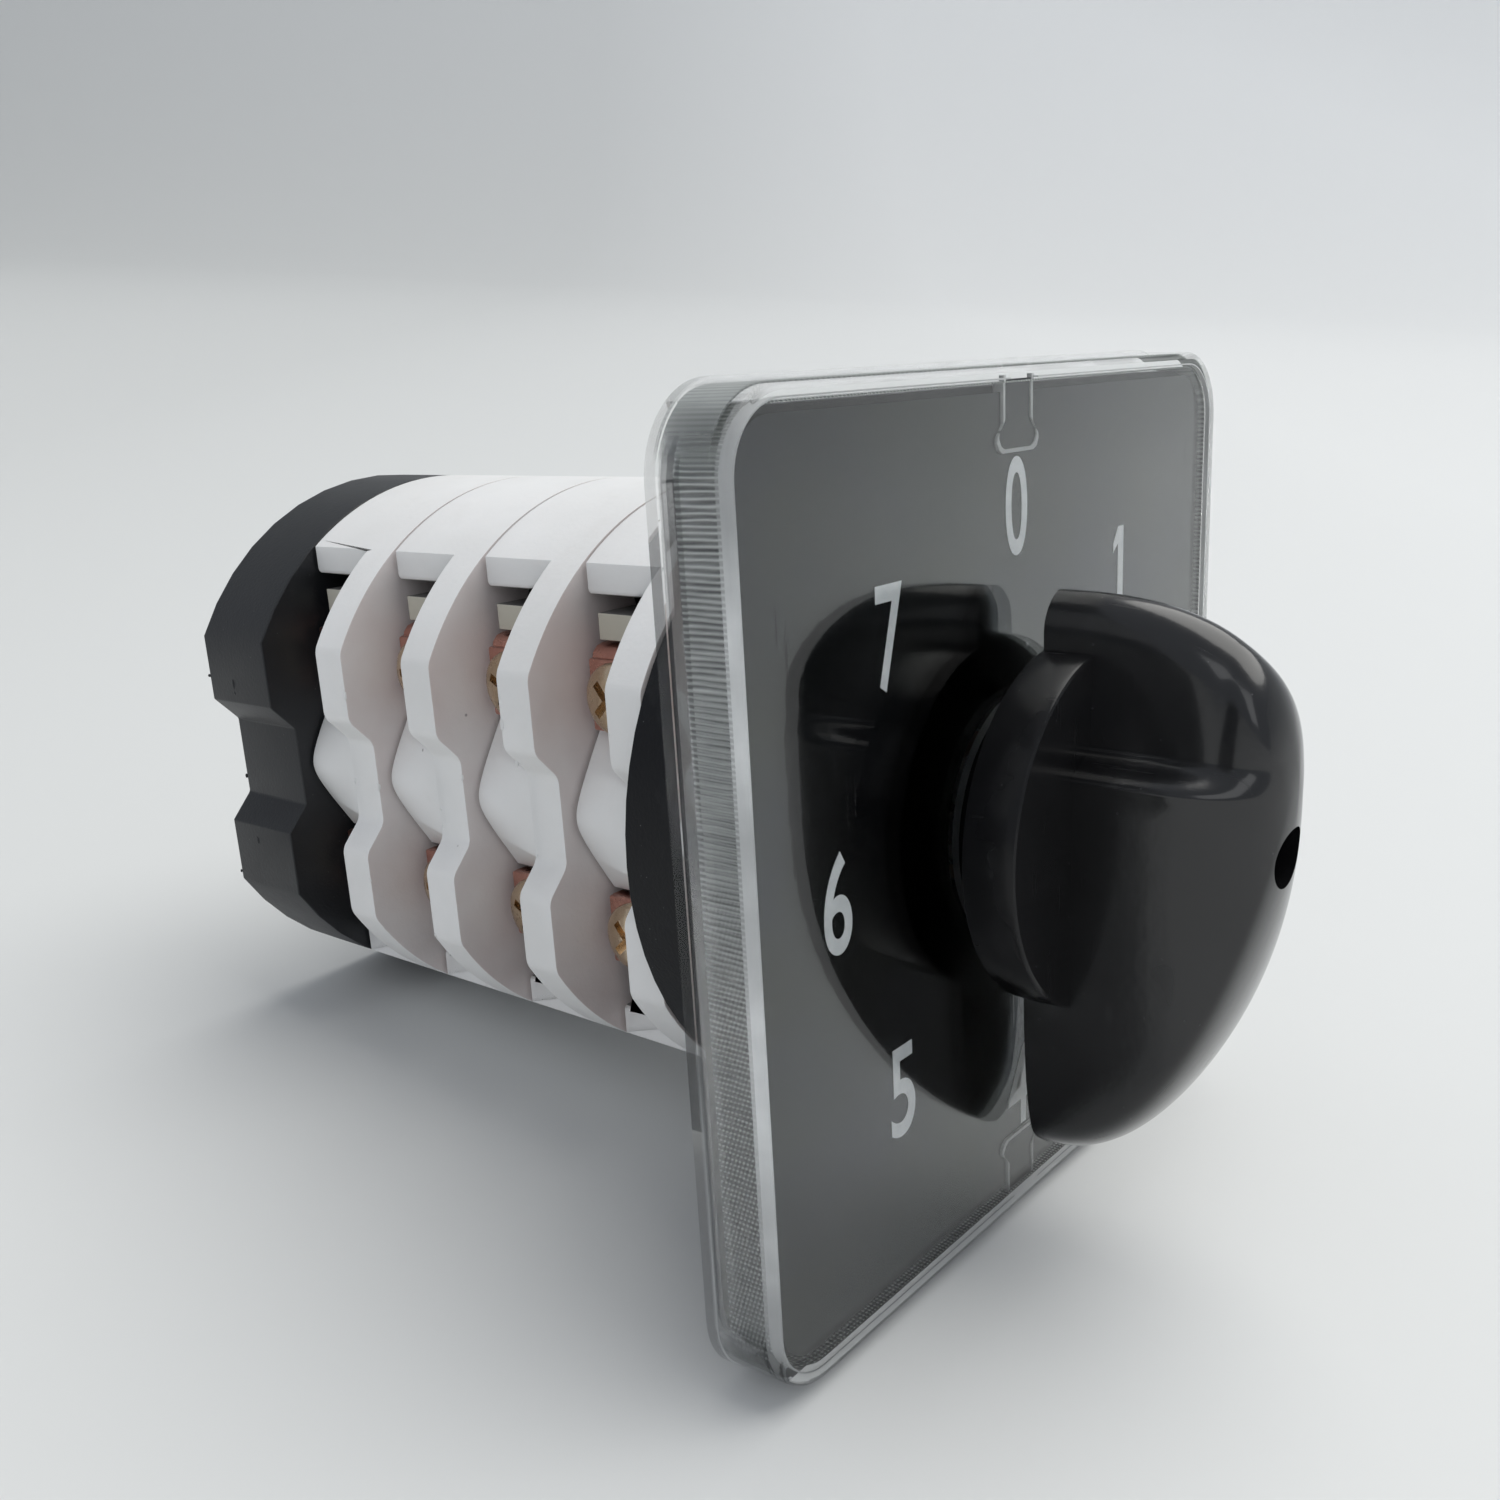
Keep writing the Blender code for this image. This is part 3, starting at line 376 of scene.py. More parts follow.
def plated_finish(name, bright, dull, rough):
    """Plated or bare metal with tarnish, fine scratches and a soft grain."""
    finish = Finish(name)
    cloud = finish.noise(260, 5.0, 0.65)
    fine = finish.noise(900, 4.0, 0.6)
    hair = scratch_mask(finish, 900, 5200, 0.6)
    base = finish.mix(cloud.spread(0.35, 0.7), bright, dull)
    spread = rough + cloud.spread(0.35, 0.75, 0.0, 0.14) + hair * 0.1
    normal = finish.bump(fine * 0.6 + hair * 0.4, 0.00004, 0.6)
    bare = 1.0 - cloud.spread(0.55, 0.9, 0.0, 0.2)
    return finish.finished(Base_Color=base, Roughness=spread, Normal=normal, Metallic=bare)


def brown_finish():
    """Brown mouldings inside: cams, plungers and detent wheel, with a mottled filler."""
    finish = Finish("brown_filled_moulding")
    mottle = finish.noise(1400, 5.0, 0.7)
    cloud = finish.noise(120, 3.0, 0.5)
    base = finish.mix(mottle.spread(0.35, 0.7), (0.10, 0.045, 0.022), (0.19, 0.09, 0.045))
    return finish.finished(Base_Color=base, Roughness=0.42 + cloud * 0.15,
                           Normal=finish.bump(mottle, 0.00006, 0.5))


gloss_black = gloss_black_finish("gloss_black_moulding", 0.46, 0.36)
hub_black = gloss_black_finish("hub_black_moulding", 0.22, 0.04)
satin_black = satin_black_finish("satin_black_moulding", (0.010, 0.0107, 0.0125),
                                 (0.018, 0.0187, 0.021), 0.45)
# Painted shade: a darker copy of the satin black for the housing, which lies in the cover's shade.
shaded_housing_black = satin_black_finish("housing_black_painted_shade", (0.003, 0.0034, 0.005), (0.006, 0.0064, 0.008), 0.2)
white_plastic = white_finish("white_moulding", (0.76, 0.755, 0.745), (0.83, 0.825, 0.82))
# Painted shade: a dark grey copy of the white moulding for the chamber walls and slots.
chamber_shade_white = sooty_finish()
# Painted shade: a darker, pinkish copy of the white moulding for the flange fronts in the recesses; the pink
# is a painted reflection of the copper.
shaded_flange_white = white_finish("white_flange_front_painted_shade", (0.63, 0.555, 0.54), (0.73, 0.70, 0.69))
# Painted shade: a darker, beige copy of the white moulding for the shelf faces in the terminal recesses.
shaded_shelf_white = white_finish("white_shelf_painted_shade", (0.50, 0.475, 0.40), (0.58, 0.56, 0.48))
clear_plastic = clear_finish("clear_polished_plastic", 1.0)
clear_wall = clear_finish("clear_wall_plastic", 0.55)
clear_edge = clear_finish("clear_edge_plastic", 0.25)
ribbed_wall = ribbed_finish()
edge_highlight = frosted_edge_finish("painted_highlight_window_edge", (0.97, 0.975, 0.975), (0.76, 0.77, 0.77))
# Pure white haze and painted light for the cover's bottom margin.
bottom_haze_light = frosted_edge_finish("hazy_painted_light_cover_bottom", (1.0, 1.0, 1.0), (0.9, 0.9, 0.9), shaded_below=0)
corner_haze_highlight = frosted_edge_finish("hazy_cover_corner_highlight", (0.60, 0.63, 0.60), (0.50, 0.53, 0.51), 4.4)
dial_metal = dial_finish()
grey_print = print_finish()
zinc_steel = plated_finish("zinc_plated_steel", (0.66, 0.65, 0.62), (0.42, 0.42, 0.41), 0.24)
brass = plated_finish("screw_brass", (0.74, 0.60, 0.44), (0.46, 0.35, 0.23), 0.2)
copper = plated_finish("terminal_copper", (0.74, 0.42, 0.34), (0.50, 0.23, 0.19), 0.24)
brown = brown_finish()

SLOT_FINISH = {
    "knob_black": gloss_black,
    "black_plastic": satin_black,
    "white_plastic": white_plastic,
    "clear_plastic": clear_plastic,
    "dial_metal": dial_metal,
    "zinc_steel": zinc_steel,
    "copper_brass": copper,
    "brown_moulding": brown,
}


# Mesh helpers

def linked(name, data):
    """New object in the scene."""
    made = bpy.data.objects.new(name, data)
    bpy.context.scene.collection.objects.link(made)
    return made


def as_mesh(name, bm):
    """Turns the working mesh into a mesh of the scene, and frees it."""
    mesh = bpy.data.meshes.new(name)
    bm.to_mesh(mesh)
    bm.free()
    return mesh


def piece(name, bm, finish, body, stands_for=(), smooth=30):
    """Links a finished mesh, gives it its finish and lets it ride on a body."""
    mesh = as_mesh(name, bm)
    for item in finish if isinstance(finish, list) else [finish]:
        mesh.materials.append(item)
    mesh.shade_smooth()
    mesh.set_sharp_from_angle(angle=radians(smooth))
    made = linked(name, mesh)
    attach(made, body)
    if stands_for:
        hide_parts(*stands_for)
    return made


def outward(bm):
    """Merges doubled points and turns all faces outward."""
    bmesh.ops.remove_doubles(bm, verts=bm.verts, dist=1e-6)
    bmesh.ops.recalc_face_normals(bm, faces=bm.faces)
    return bm


def shifted(bm, shift):
    """Moves the whole mesh."""
    bmesh.ops.translate(bm, verts=bm.verts, vec=shift)


def rotated(bm, angle, axis, centre=(0, 0, 0)):
    """Turns the whole mesh about an axis through the centre."""
    bmesh.ops.rotate(bm, verts=bm.verts, cent=centre, matrix=Matrix.Rotation(angle, 3, axis))


def drawn(bm, grown, depth):
    """Pulls the points that an extrusion made to the rear."""
    moved = [item for item in grown["geom"] if isinstance(item, bmesh.types.BMVert)]
    bmesh.ops.translate(bm, verts=moved, vec=(0, depth, 0))


def rounded(bm, geom, width, steps, affect="VERTICES"):
    """Rounds corners or edges with a bevel."""
    bmesh.ops.bevel(bm, geom=geom, offset=width, offset_type="OFFSET", segments=steps, profile=0.5,
                    affect=affect, material=-1)


def plate(half, corner, y, steps):
    """Flat square plate with rounded corners about the shaft's axis, as one face towards the front."""
    bm = bmesh.new()
    bmesh.ops.create_grid(bm, x_segments=1, y_segments=1, size=1.0)
    bmesh.ops.scale(bm, vec=(half, half, 1), verts=bm.verts)
    rounded(bm, bm.verts[:], corner, steps)
    rotated(bm, pi / 2, "X")
    shifted(bm, (0, y, AXIS_Z))
    return bm


def thicken(bm, depth):
    """Pulls the plate's face to the rear, so that it becomes a solid; returns its front and rear faces."""
    front = max(bm.faces, key=lambda face: face.calc_area())
    grown = bmesh.ops.extrude_face_region(bm, geom=[front], use_keep_orig=True)
    rear = next(item for item in grown["geom"] if isinstance(item, bmesh.types.BMFace))
    drawn(bm, grown, depth)
    bmesh.ops.recalc_face_normals(bm, faces=bm.faces)
    return front, rear


def step_in(bm, face, steps):
    """Insets a face again and again: (inwards, out along its normal)."""
    for inward, out in steps:
        bmesh.ops.inset_region(bm, faces=[face], thickness=inward, depth=out, use_even_offset=True)


def rounding(radius, count):
    """Inset steps that round an outer edge with the given radius."""
    steps = []
    for index in range(count):
        start, end = (pi / 2 * index / count, pi / 2 * (index + 1) / count)
        steps.append((radius * (cos(start) - cos(end)), radius * (sin(end) - sin(start))))
    return steps


def turned(profile, sides, centre=(0, 0, 0)):
    """Closed solid spun from (radius, along) points whose ends lie on the axis."""
    bm = bmesh.new()
    line = [bm.verts.new((radius, along, 0)) for radius, along in profile]
    edges = [bm.edges.new(pair) for pair in zip(line, line[1:])]
    bmesh.ops.spin(bm, geom=line + edges, cent=(0, 0, 0), axis=(0, 1, 0), angle=2 * pi, steps=sides,
                   use_merge=True, use_duplicate=False)
    shifted(bm, centre)
    return outward(bm)


def rod(radius, front, rear, sides):
    """Round rod on the shaft's axis."""
    return turned([(0, front), (radius, front), (radius, rear), (0, rear)], sides, (0, 0, AXIS_Z))


def formed(across, along, shape):
    """Skin made of a grid whose points (share across, share along) are laid on the given shape."""
    bm = bmesh.new()
    bmesh.ops.create_grid(bm, x_segments=across, y_segments=along, size=1.0)
    for vert in bm.verts:
        vert.co = shape((vert.co.x + 1) / 2, (vert.co.y + 1) / 2)
    return bm


def block(*ranges):
    """Box from its x, y and z ranges."""
    bm = bmesh.new()
    bmesh.ops.create_cube(bm, size=1.0)
    bmesh.ops.scale(bm, vec=[end - start for start, end in ranges], verts=bm.verts)
    shifted(bm, [(end + start) / 2 for start, end in ranges])
    return bm


def cut_out(bm, *tools, operation="DIFFERENCE"):
    """The mesh with the tools' shapes cut out of it, or joined to it."""
    body = linked("cut_body", as_mesh("cut_body", bm))
    cutters = []
    for tool in tools:
        cutter = linked("cut_tool", as_mesh("cut_tool", tool))
        configured(body.modifiers.new("cut", "BOOLEAN"), operation=operation, solver="EXACT", object=cutter)
        cutters.append(cutter)
    bpy.context.view_layer.update()
    result = bmesh.new()
    result.from_mesh(body.evaluated_get(bpy.context.evaluated_depsgraph_get()).to_mesh())
    for item in [body, *cutters]:
        bpy.data.objects.remove(item, do_unlink=True)
    return result


def joined(*parts):
    """Several meshes as one."""
    whole = bmesh.new()
    for part in parts:
        mesh = as_mesh("part", part)
        whole.from_mesh(mesh)
        bpy.data.meshes.remove(mesh)
    return whole


def copied(name):
    """The mesh of a solid, with its doubled points merged."""
    bm = bmesh.new()
    bm.from_mesh(nodes[name].data)
    bmesh.ops.remove_doubles(bm, verts=bm.verts, dist=2e-6)
    return bm


def soft_edges(made, width):
    """Rounds the moulded edges of a piece."""
    configured(made.modifiers.new("soft_edges", "BEVEL"), width=width, segments=2, limit_method="ANGLE",
               angle_limit=radians(35), use_clamp_overlap=True, harden_normals=True, miter_outer="MITER_ARC")


def softened(name, finish, width):
    """A copy of a solid with its moulded edges rounded, which stands for the solid."""
    bm = copied(name)
    bmesh.ops.dissolve_limit(bm, angle_limit=radians(1.5), verts=bm.verts, edges=bm.edges)
    made = piece(name + "_moulding", bm, finish, nodes[name]["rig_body"], (name,), 40)
    soft_edges(made, width)


# Finishes on the solids that stay

for row in frame["record"]["subparts"]:
    solid = nodes[row["node"]]
    finish = SLOT_FINISH[row["material_slot"]]
    for place_of_slot in range(max(1, len(solid.material_slots))):
        if solid.material_slots:
            solid.material_slots[place_of_slot].material = finish
        else:
            solid.data.materials.append(finish)


# Knob

NOSE_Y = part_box("knob")[0].y
HUB_REAR = FRONT - 2.3 * MM
HUB_FRONT = HUB_REAR - 4.0 * MM
HUB_RADIUS = 12.9 * MM
BOSS_RADIUS = 8.4 * MM
WELL_RADIUS = 2.1 * MM
FIN_REAR = HUB_REAR - 0.3 * MM
FIN_MIDDLE = 4.5 * MM
FIN_UP = 12.0 * MM
FIN_DOWN = 29.9 * MM
CURVE_UP = 2.6
CURVE_DOWN = 1.85
FIN_THICK = 5.2 * MM
FIN_RIM = 3.8 * MM
FIN_TIP = 1.7 * MM
FIN_ROUND = 2.8 * MM
NOSE_START = 0.62
SCOOP_DEPTH = 1.0 * MM
RIDGE_STEP = 1.9 * MM
RIDGE_HIGH = 0.3 * MM
RIDGE_BAND = 2.2 * MM
BELOW_SHARE = 0.42
RIDGE_SHARE = 0.62


def smooth(share):
    """Soft step from 0 to 1."""
    share = min(1.0, max(0.0, share))
    return share * share * (3 - 2 * share)


def fin_thickness(z, low, high, height):
    """Half thickness of the fin: full below its ridge, scooped out above it, rounded towards every edge."""
    if z <= FIN_MIDDLE:
        share = min(1.0, max(0.0, (-z - FIN_MIDDLE) / (FIN_DOWN - 2 * FIN_MIDDLE)))
        base = FIN_THICK * (1 - 0.97 * share ** 3.5) ** (1 / 3.5)
    else:
        share = (z - FIN_MIDDLE) / max(1e-6, high - FIN_MIDDLE)
        rim = FIN_RIM - (FIN_RIM - FIN_TIP) * max(0.0, share - 0.1) ** 1.6
        reach = (((z - FIN_MIDDLE) / FIN_UP) ** 2.4 + (height * 0.97) ** 2.4) ** (1 / 2.4)
        scoop = SCOOP_DEPTH * smooth((0.93 - reach) / 0.5) ** 0.8
        fade = 1 - 0.8 * smooth((height - 0.74) / 0.26)
        step = smooth((z - FIN_MIDDLE - 0.1 * MM) / RIDGE_STEP)
        base = FIN_THICK + (rim - scoop - FIN_THICK) * step * fade
        across = (z - FIN_MIDDLE - 0.4 * MM) / (0.9 * MM)
        base += RIDGE_HIGH * max(0.0, 1 - across ** 2) * (1 - smooth((height - 0.60) / 0.22))
    room = min(1.0, min(z - low, high - z) / FIN_ROUND)
    rise = max(0.0, (height - NOSE_START) / 0.38)
    return base * sqrt(max(0.0, 1 - (1 - room) ** 2)) * sqrt(max(0.0, 1 - rise ** 2.2))


def fin_point(around, along):
    """Point of the fin's skin: around one cross-section, and along from its rear to its nose."""
    height = sin(pi / 2 * along)
    low = FIN_MIDDLE - FIN_DOWN * max(0.0, 1 - height ** CURVE_DOWN) ** (1 / CURVE_DOWN)
    high = FIN_MIDDLE + FIN_UP * max(0.0, 1 - height ** CURVE_UP) ** (1 / CURVE_UP)
    side = -1 if around <= 0.5 else 1
    share = 2 * around if around <= 0.5 else 2 - 2 * around
    band = min(RIDGE_BAND, high - FIN_MIDDLE)
    if share < BELOW_SHARE:
        z = FIN_MIDDLE - (FIN_MIDDLE - low) * cos(pi / 2 * share / BELOW_SHARE)
    elif share < RIDGE_SHARE:
        z = FIN_MIDDLE + band * (share - BELOW_SHARE) / 0.20
    else:
        start = FIN_MIDDLE + band
        z = start + (high - start) * sin(pi / 2 * (share - RIDGE_SHARE) / 0.38)
    y = FIN_REAR + (NOSE_Y - FIN_REAR) * height
    return Vector((side * fin_thickness(z, low, high, height), y, AXIS_Z + z))


def knob_handle():
    """Fin handle on its round hub disc, with the screw well in its nose."""
    fin = outward(formed(150, 84, fin_point))
    bmesh.ops.holes_fill(fin, edges=[edge for edge in fin.edges if edge.is_boundary], sides=0)
    outward(fin)
    fin = cut_out(fin, rod(WELL_RADIUS, NOSE_Y - MM, NOSE_Y + 8 * MM, 40))
    boss_rear = HUB_REAR + 3.5 * MM
    hub = turned([(0, boss_rear), (BOSS_RADIUS, boss_rear), (BOSS_RADIUS, HUB_REAR), (12.6 * MM, HUB_REAR),
                  (12.8 * MM, HUB_REAR - 0.1 * MM), (HUB_RADIUS, HUB_REAR - 0.3 * MM),
                  (HUB_RADIUS, HUB_FRONT + 0.25 * MM), (12.85 * MM, HUB_FRONT + 0.1 * MM),
                  (12.7 * MM, HUB_FRONT), (0, HUB_FRONT)], 120, (0, 0, AXIS_Z))
    piece("knob_handle", fin, gloss_black, "rotor", ("knob",), 32)
    piece("knob_hub", hub, hub_black, "rotor", ("knob",), 32)


knob_handle()


# Clear cover, dial and numerals

WALL = 1.4 * MM
WINDOW = 1.2 * MM
LIP_DEPTH = 0.85 * MM
COVER_ROUND = 0.45 * MM
KNOB_HOLE = 9.3 * MM
KEY_HALF = 2.0 * MM
KEY_FOOT = 25.6 * MM
NUMERAL_TALL = 6.7 * MM
NUMERAL_RING = 22 * MM


def keyhole(inset, top, front, rear):
    """Solid with the keyhole's outline: a neck that ends in a wider, blunt foot."""
    half = KEY_HALF - inset
    foot = KEY_FOOT + inset
    right = [(half, top), (half, foot + 1.9 * MM), (half + 0.35 * MM, foot + 1.5 * MM),
             (half + 0.75 * MM, foot + 1.1 * MM), (half + 0.8 * MM, foot + 0.7 * MM),
             (half + 0.55 * MM, foot + 0.25 * MM), (half + 0.1 * MM, foot)]
    bm = bmesh.new()
    ring = [bm.verts.new((x, front, z)) for x, z in right + [(-x, z) for x, z in reversed(right)]]
    drawn(bm, bmesh.ops.extrude_face_region(bm, geom=[bm.faces.new(ring)], use_keep_orig=True), rear - front)
    return outward(bm)


def up_and_down(bm):
    """The keyhole solid at the top of the dial and, turned half round, at the bottom."""
    other = bm.copy()
    rotated(other, pi, "Y")
    for part in (bm, other):
        shifted(part, (0, 0, AXIS_Z))
    return [bm, other]


def clear_tray():
    """Clear cover: rounded front, drafted side walls and a stepped rear lip."""
    bm = plate(HALF, COVER_CORNER, LIP, 14)
    front, rear = thicken(bm, -LIP_DEPTH)
    if front.calc_center_median().y > rear.calc_center_median().y:
        front, rear = rear, front
    step_in(bm, front, [(0.14 * MM, 0.0), (0.16 * MM, LIP - FRONT - LIP_DEPTH - COVER_ROUND)])
    step_in(bm, front, rounding(COVER_ROUND, 5) + [(0.12 * MM, 0.0)])
    step_in(bm, rear, [(0.12 * MM, 0.0), (WALL - 0.12 * MM, 0.0)])
    step_in(bm, rear, [(0.02 * MM, -(LIP - FRONT - WINDOW)), (0.12 * MM, 0.0)])
    outward(bm)
    tray = cut_out(bm, rod(KNOB_HOLE, FRONT - MM, FRONT + 3 * MM, 96))
    hole_shade, edge, wall, window = 1, 3, 2, 0
    for face in tray.faces:
        middle = face.calc_center_median()
        reach = sqrt(middle.x ** 2 + (middle.z - AXIS_Z) ** 2)
        # Painted shade: the clear wall of the knob hole gets the black moulding finish.
        if abs(face.normal.y) < 0.3 and reach < KNOB_HOLE + 0.05 * MM:
            face.material_index = hole_shade
        elif middle.y > LIP - 0.05 * MM or abs(middle.z - AXIS_Z) > HALF - 1.3 * MM:
            face.material_index = edge
        else:
            face.material_index = wall if abs(face.normal.y) < 0.99 else window
    finishes = [clear_plastic, satin_black, clear_wall, clear_edge]
    piece("clear_cover_tray", tray, finishes, "stack", ("clear_cover",), 28)


def key_tabs():
    """The cover's two tabs that fill the dial's keyholes: pale edges of painted highlight round a dark
    window.
    """
    margin = 0.30 * MM
    rows = (("edges", 0.04 * MM, 1.3 * MM, edge_highlight), ("windows", margin, 1.42 * MM, dial_metal))
    for word, inset, front, finish in rows:
        parts = up_and_down(keyhole(inset, 30.7 * MM - inset, FRONT + front, dial_high.y))
        if word == "edges":
            inner = up_and_down(keyhole(margin, 33 * MM, FRONT, dial_high.y + MM))
            parts = [cut_out(part, tool) for part, tool in zip(parts, inner)]
        piece(f"key_tab_{word}", joined(*parts), finish, "stack")


def wall_band(name, finish, inset, start, depth, keyed=False, low=True):
    """Thin band round inside the cover's clear wall, less its part at the keys or at middle height."""
    bm = plate(HALF - inset, COVER_CORNER - inset, FRONT + start, 14)
    face = max(bm.faces, key=lambda item: item.calc_area())
    rim = list(face.edges)
    bmesh.ops.delete(bm, geom=[face], context="FACES_ONLY")
    drawn(bm, bmesh.ops.extrude_edge_only(bm, edges=rim), depth)
    bmesh.ops.recalc_face_normals(bm, faces=bm.faces)
    bmesh.ops.solidify(bm, geom=bm.faces[:], thickness=0.1 * MM)
    if keyed:
        gap = (-1.8 * MM, 1.8 * MM)
        bm = cut_out(bm, block(gap, (FRONT, LIP), (AXIS_Z - FAR_OFF, AXIS_Z + FAR_OFF)))
    if not low:
        edge = HALF - 4.5 * MM
        bm = cut_out(bm, block((-FAR_OFF, FAR_OFF), (FRONT, LIP), (AXIS_Z - edge, AXIS_Z + edge)))
    piece(name, bm, finish, "stack")


def bottom_margin():
    """Lower margin of the cover's front: a pale, half see-through sheet of haze and painted light."""
    bm = plate(HALF - 0.6 * MM, 4.9 * MM, FRONT + 0.34 * MM, 12)
    thicken(bm, 0.05 * MM)
    inner = plate(HALF - 1.75 * MM, 3.75 * MM, FRONT, 12)
    thicken(inner, MM)
    upper = block((-FAR_OFF, FAR_OFF), (FRONT - MM, LIP), (AXIS_Z - HALF + 2.3 * MM, AXIS_Z + FAR_OFF))
    piece("cover_bottom_margin", cut_out(bm, outward(inner), upper), bottom_haze_light, "stack")


def dial():
    """Dark dial plate with its knob hole and two keyholes."""
    half = (dial_high.x - dial_low.x) / 2 - 0.4 * MM
    bm = plate(half, 3.3 * MM, dial_low.y, 12)
    thicken(bm, dial_high.y - dial_low.y)
    tools = up_and_down(keyhole(0.0, 33 * MM, FRONT, dial_high.y + MM))
    bm = cut_out(bm, rod(KNOB_HOLE, FRONT, dial_high.y + MM, 96), *tools)
    piece("dial_face", bm, dial_metal, "stack", ("dial_plate",), 20)


def numerals():
    """Printed numerals 0 and 2 to 7, from the letter shapes that Blender brings."""
    for number in (0, 2, 3, 4, 5, 6, 7):
        words = bpy.data.curves.new(f"numeral_{number}", "FONT")
        configured(words, body=str(number), size=1.0, align_x="CENTER", resolution_u=8, offset=0.012)
        flat = linked("flat_numeral", words)
        bpy.context.view_layer.update()
        mesh = bpy.data.meshes.new_from_object(flat.evaluated_get(bpy.context.evaluated_depsgraph_get()))
        bpy.data.objects.remove(flat, do_unlink=True)
        bm = bmesh.new()
        bm.from_mesh(mesh)
        bmesh.ops.remove_doubles(bm, verts=bm.verts, dist=1e-5)
        left, right = min(v.co.x for v in bm.verts), max(v.co.x for v in bm.verts)
        low, high = min(v.co.y for v in bm.verts), max(v.co.y for v in bm.verts)
        wide = (3.1 if number == 4 else 2.9) * MM
        scale = (wide / (right - left), NUMERAL_TALL / (high - low), 1)
        shifted(bm, (-(left + right) / 2, -(low + high) / 2, 0))
        bmesh.ops.scale(bm, vec=scale, verts=bm.verts)
        print_numeral(bm, number)


def numeral_one():
    """Numeral 1: a straight stem with a short flag."""
    bm = bmesh.new()
    half = NUMERAL_TALL / 2
    line = ((-0.15 * MM, half), (-0.95 * MM, half - 1.25 * MM), (-0.95 * MM, half - 1.95 * MM),
            (-0.15 * MM, half - 1.3 * MM), (-0.15 * MM, -half), (0.75 * MM, -half), (0.75 * MM, half))
    bm.faces.new([bm.verts.new((x, z, 0)) for x, z in line])
    print_numeral(bm, 1)


def print_numeral(bm, number):
    """Stands a flat numeral upright on its place in the dial's ring, clockwise from the top."""
    angle = pi / 2 - number * pi / 4
    rotated(bm, pi / 2, "X")
    shifted(bm, (NUMERAL_RING * cos(angle), DIAL_FACE - 0.03 * MM, AXIS_Z + NUMERAL_RING * sin(angle)))
    bmesh.ops.recalc_face_normals(bm, faces=bm.faces)
    if bm.faces[:][0].normal.y > 0:
        bmesh.ops.reverse_faces(bm, faces=bm.faces)
    bmesh.ops.solidify(bm, geom=bm.faces[:], thickness=-0.02 * MM)
    piece(f"numeral_{number}", bm, grey_print, "stack")


clear_tray()
key_tabs()
wall_band("cover_ribbed_wall", ribbed_wall, WALL + 0.02 * MM, 1.22 * MM, 2.95 * MM)
wall_band("cover_edge_highlight", edge_highlight, 1.2 * MM, 0.3 * MM, 0.88 * MM, True)
# Haze and painted highlight in the top and bottom corners of the cover's wall.
wall_band("cover_corner_haze_highlight", corner_haze_highlight, 0.42 * MM, 1.3 * MM, 3.75 * MM, low=False)
bottom_margin()
dial()
numerals()
numeral_one()


# Contact sections, housing and cap

RADIUS = (cap_high.z - cap_low.z) / 2
SIDE_FLAT = (cap_high.x - cap_low.x) / 2
NOTCH_DEPTH = 2.05 * MM
NOTCH_MOUTH = 5.7 * MM
NOTCH_FLOOR = 3.5 * MM
FLANGE = 3.4 * MM
SECTION = 10.85 * MM
CORE = 14.2 * MM
LEDGE = 6.4 * MM
TERMINAL_TOP = 13.2 * MM
SHELF_TOP = 15.2 * MM
ARC_FLOOR = 16.5 * MM
CHAMBER = 9.8 * MM
OVERLAP = 0.6 * MM
NEAR = 1e-6


def round_face():
    """Round face of the body in the XZ plane about the origin, which faces the front."""
    bm = bmesh.new()
    bmesh.ops.create_circle(bm, cap_ends=True, segments=144, radius=RADIUS)
    rotated(bm, pi / 2, "X")
    return bm


def split(bm, place, normal, trim=False):
    """Cuts the mesh along a plane, and drops what lies beyond it where trim is set."""
    bmesh.ops.bisect_plane(bm, geom=bm.verts[:] + bm.edges[:] + bm.faces[:], dist=1e-7,
                           plane_co=place, plane_no=normal, clear_outer=trim)


def trimmed(bm, x):
    """Cuts the face off straight at x on both sides."""
    for side in (1, -1):
        split(bm, (side * x, 0, 0), (side, 0, 0), True)
    return bm


def drawn_out(bm, start, depth):
    """Pulls a flat face to the rear, so that it becomes a solid that starts at the given place."""
    shifted(bm, (0, start, 0))
    drawn(bm, bmesh.ops.extrude_face_region(bm, geom=bm.faces[:], use_keep_orig=True), depth)
    return outward(bm)


def notched_face(corner):
    """Outline of the flanges: round, with a flat and a dovetail notch on each side."""
    bm = trimmed(round_face(), SIDE_FLAT)
    for level in (NOTCH_MOUTH, NOTCH_FLOOR, -NOTCH_FLOOR, -NOTCH_MOUTH):
        split(bm, (0, 0, level), (0, 0, 1))
    for side in (1, -1):
        floor = [vert for vert in bm.verts
                 if abs(vert.co.x - side * SIDE_FLAT) < NEAR and abs(vert.co.z) < NOTCH_FLOOR + NEAR]
        bmesh.ops.translate(bm, verts=floor, vec=(-side * NOTCH_DEPTH, 0, 0))
    bmesh.ops.dissolve_limit(bm, angle_limit=radians(0.5), verts=bm.verts, edges=bm.edges)
    corners = [vert for vert in bm.verts
               if abs(vert.co.x) > SIDE_FLAT - NOTCH_DEPTH - NEAR and abs(vert.co.z) < NOTCH_MOUTH + NEAR]
    rounded(bm, corners, corner, 4)
    ends = [vert for vert in bm.verts
            if abs(abs(vert.co.x) - SIDE_FLAT) < NEAR and abs(vert.co.z) > NOTCH_MOUTH + MM]
    rounded(bm, ends, corner * 0.8, 3)
    return bm


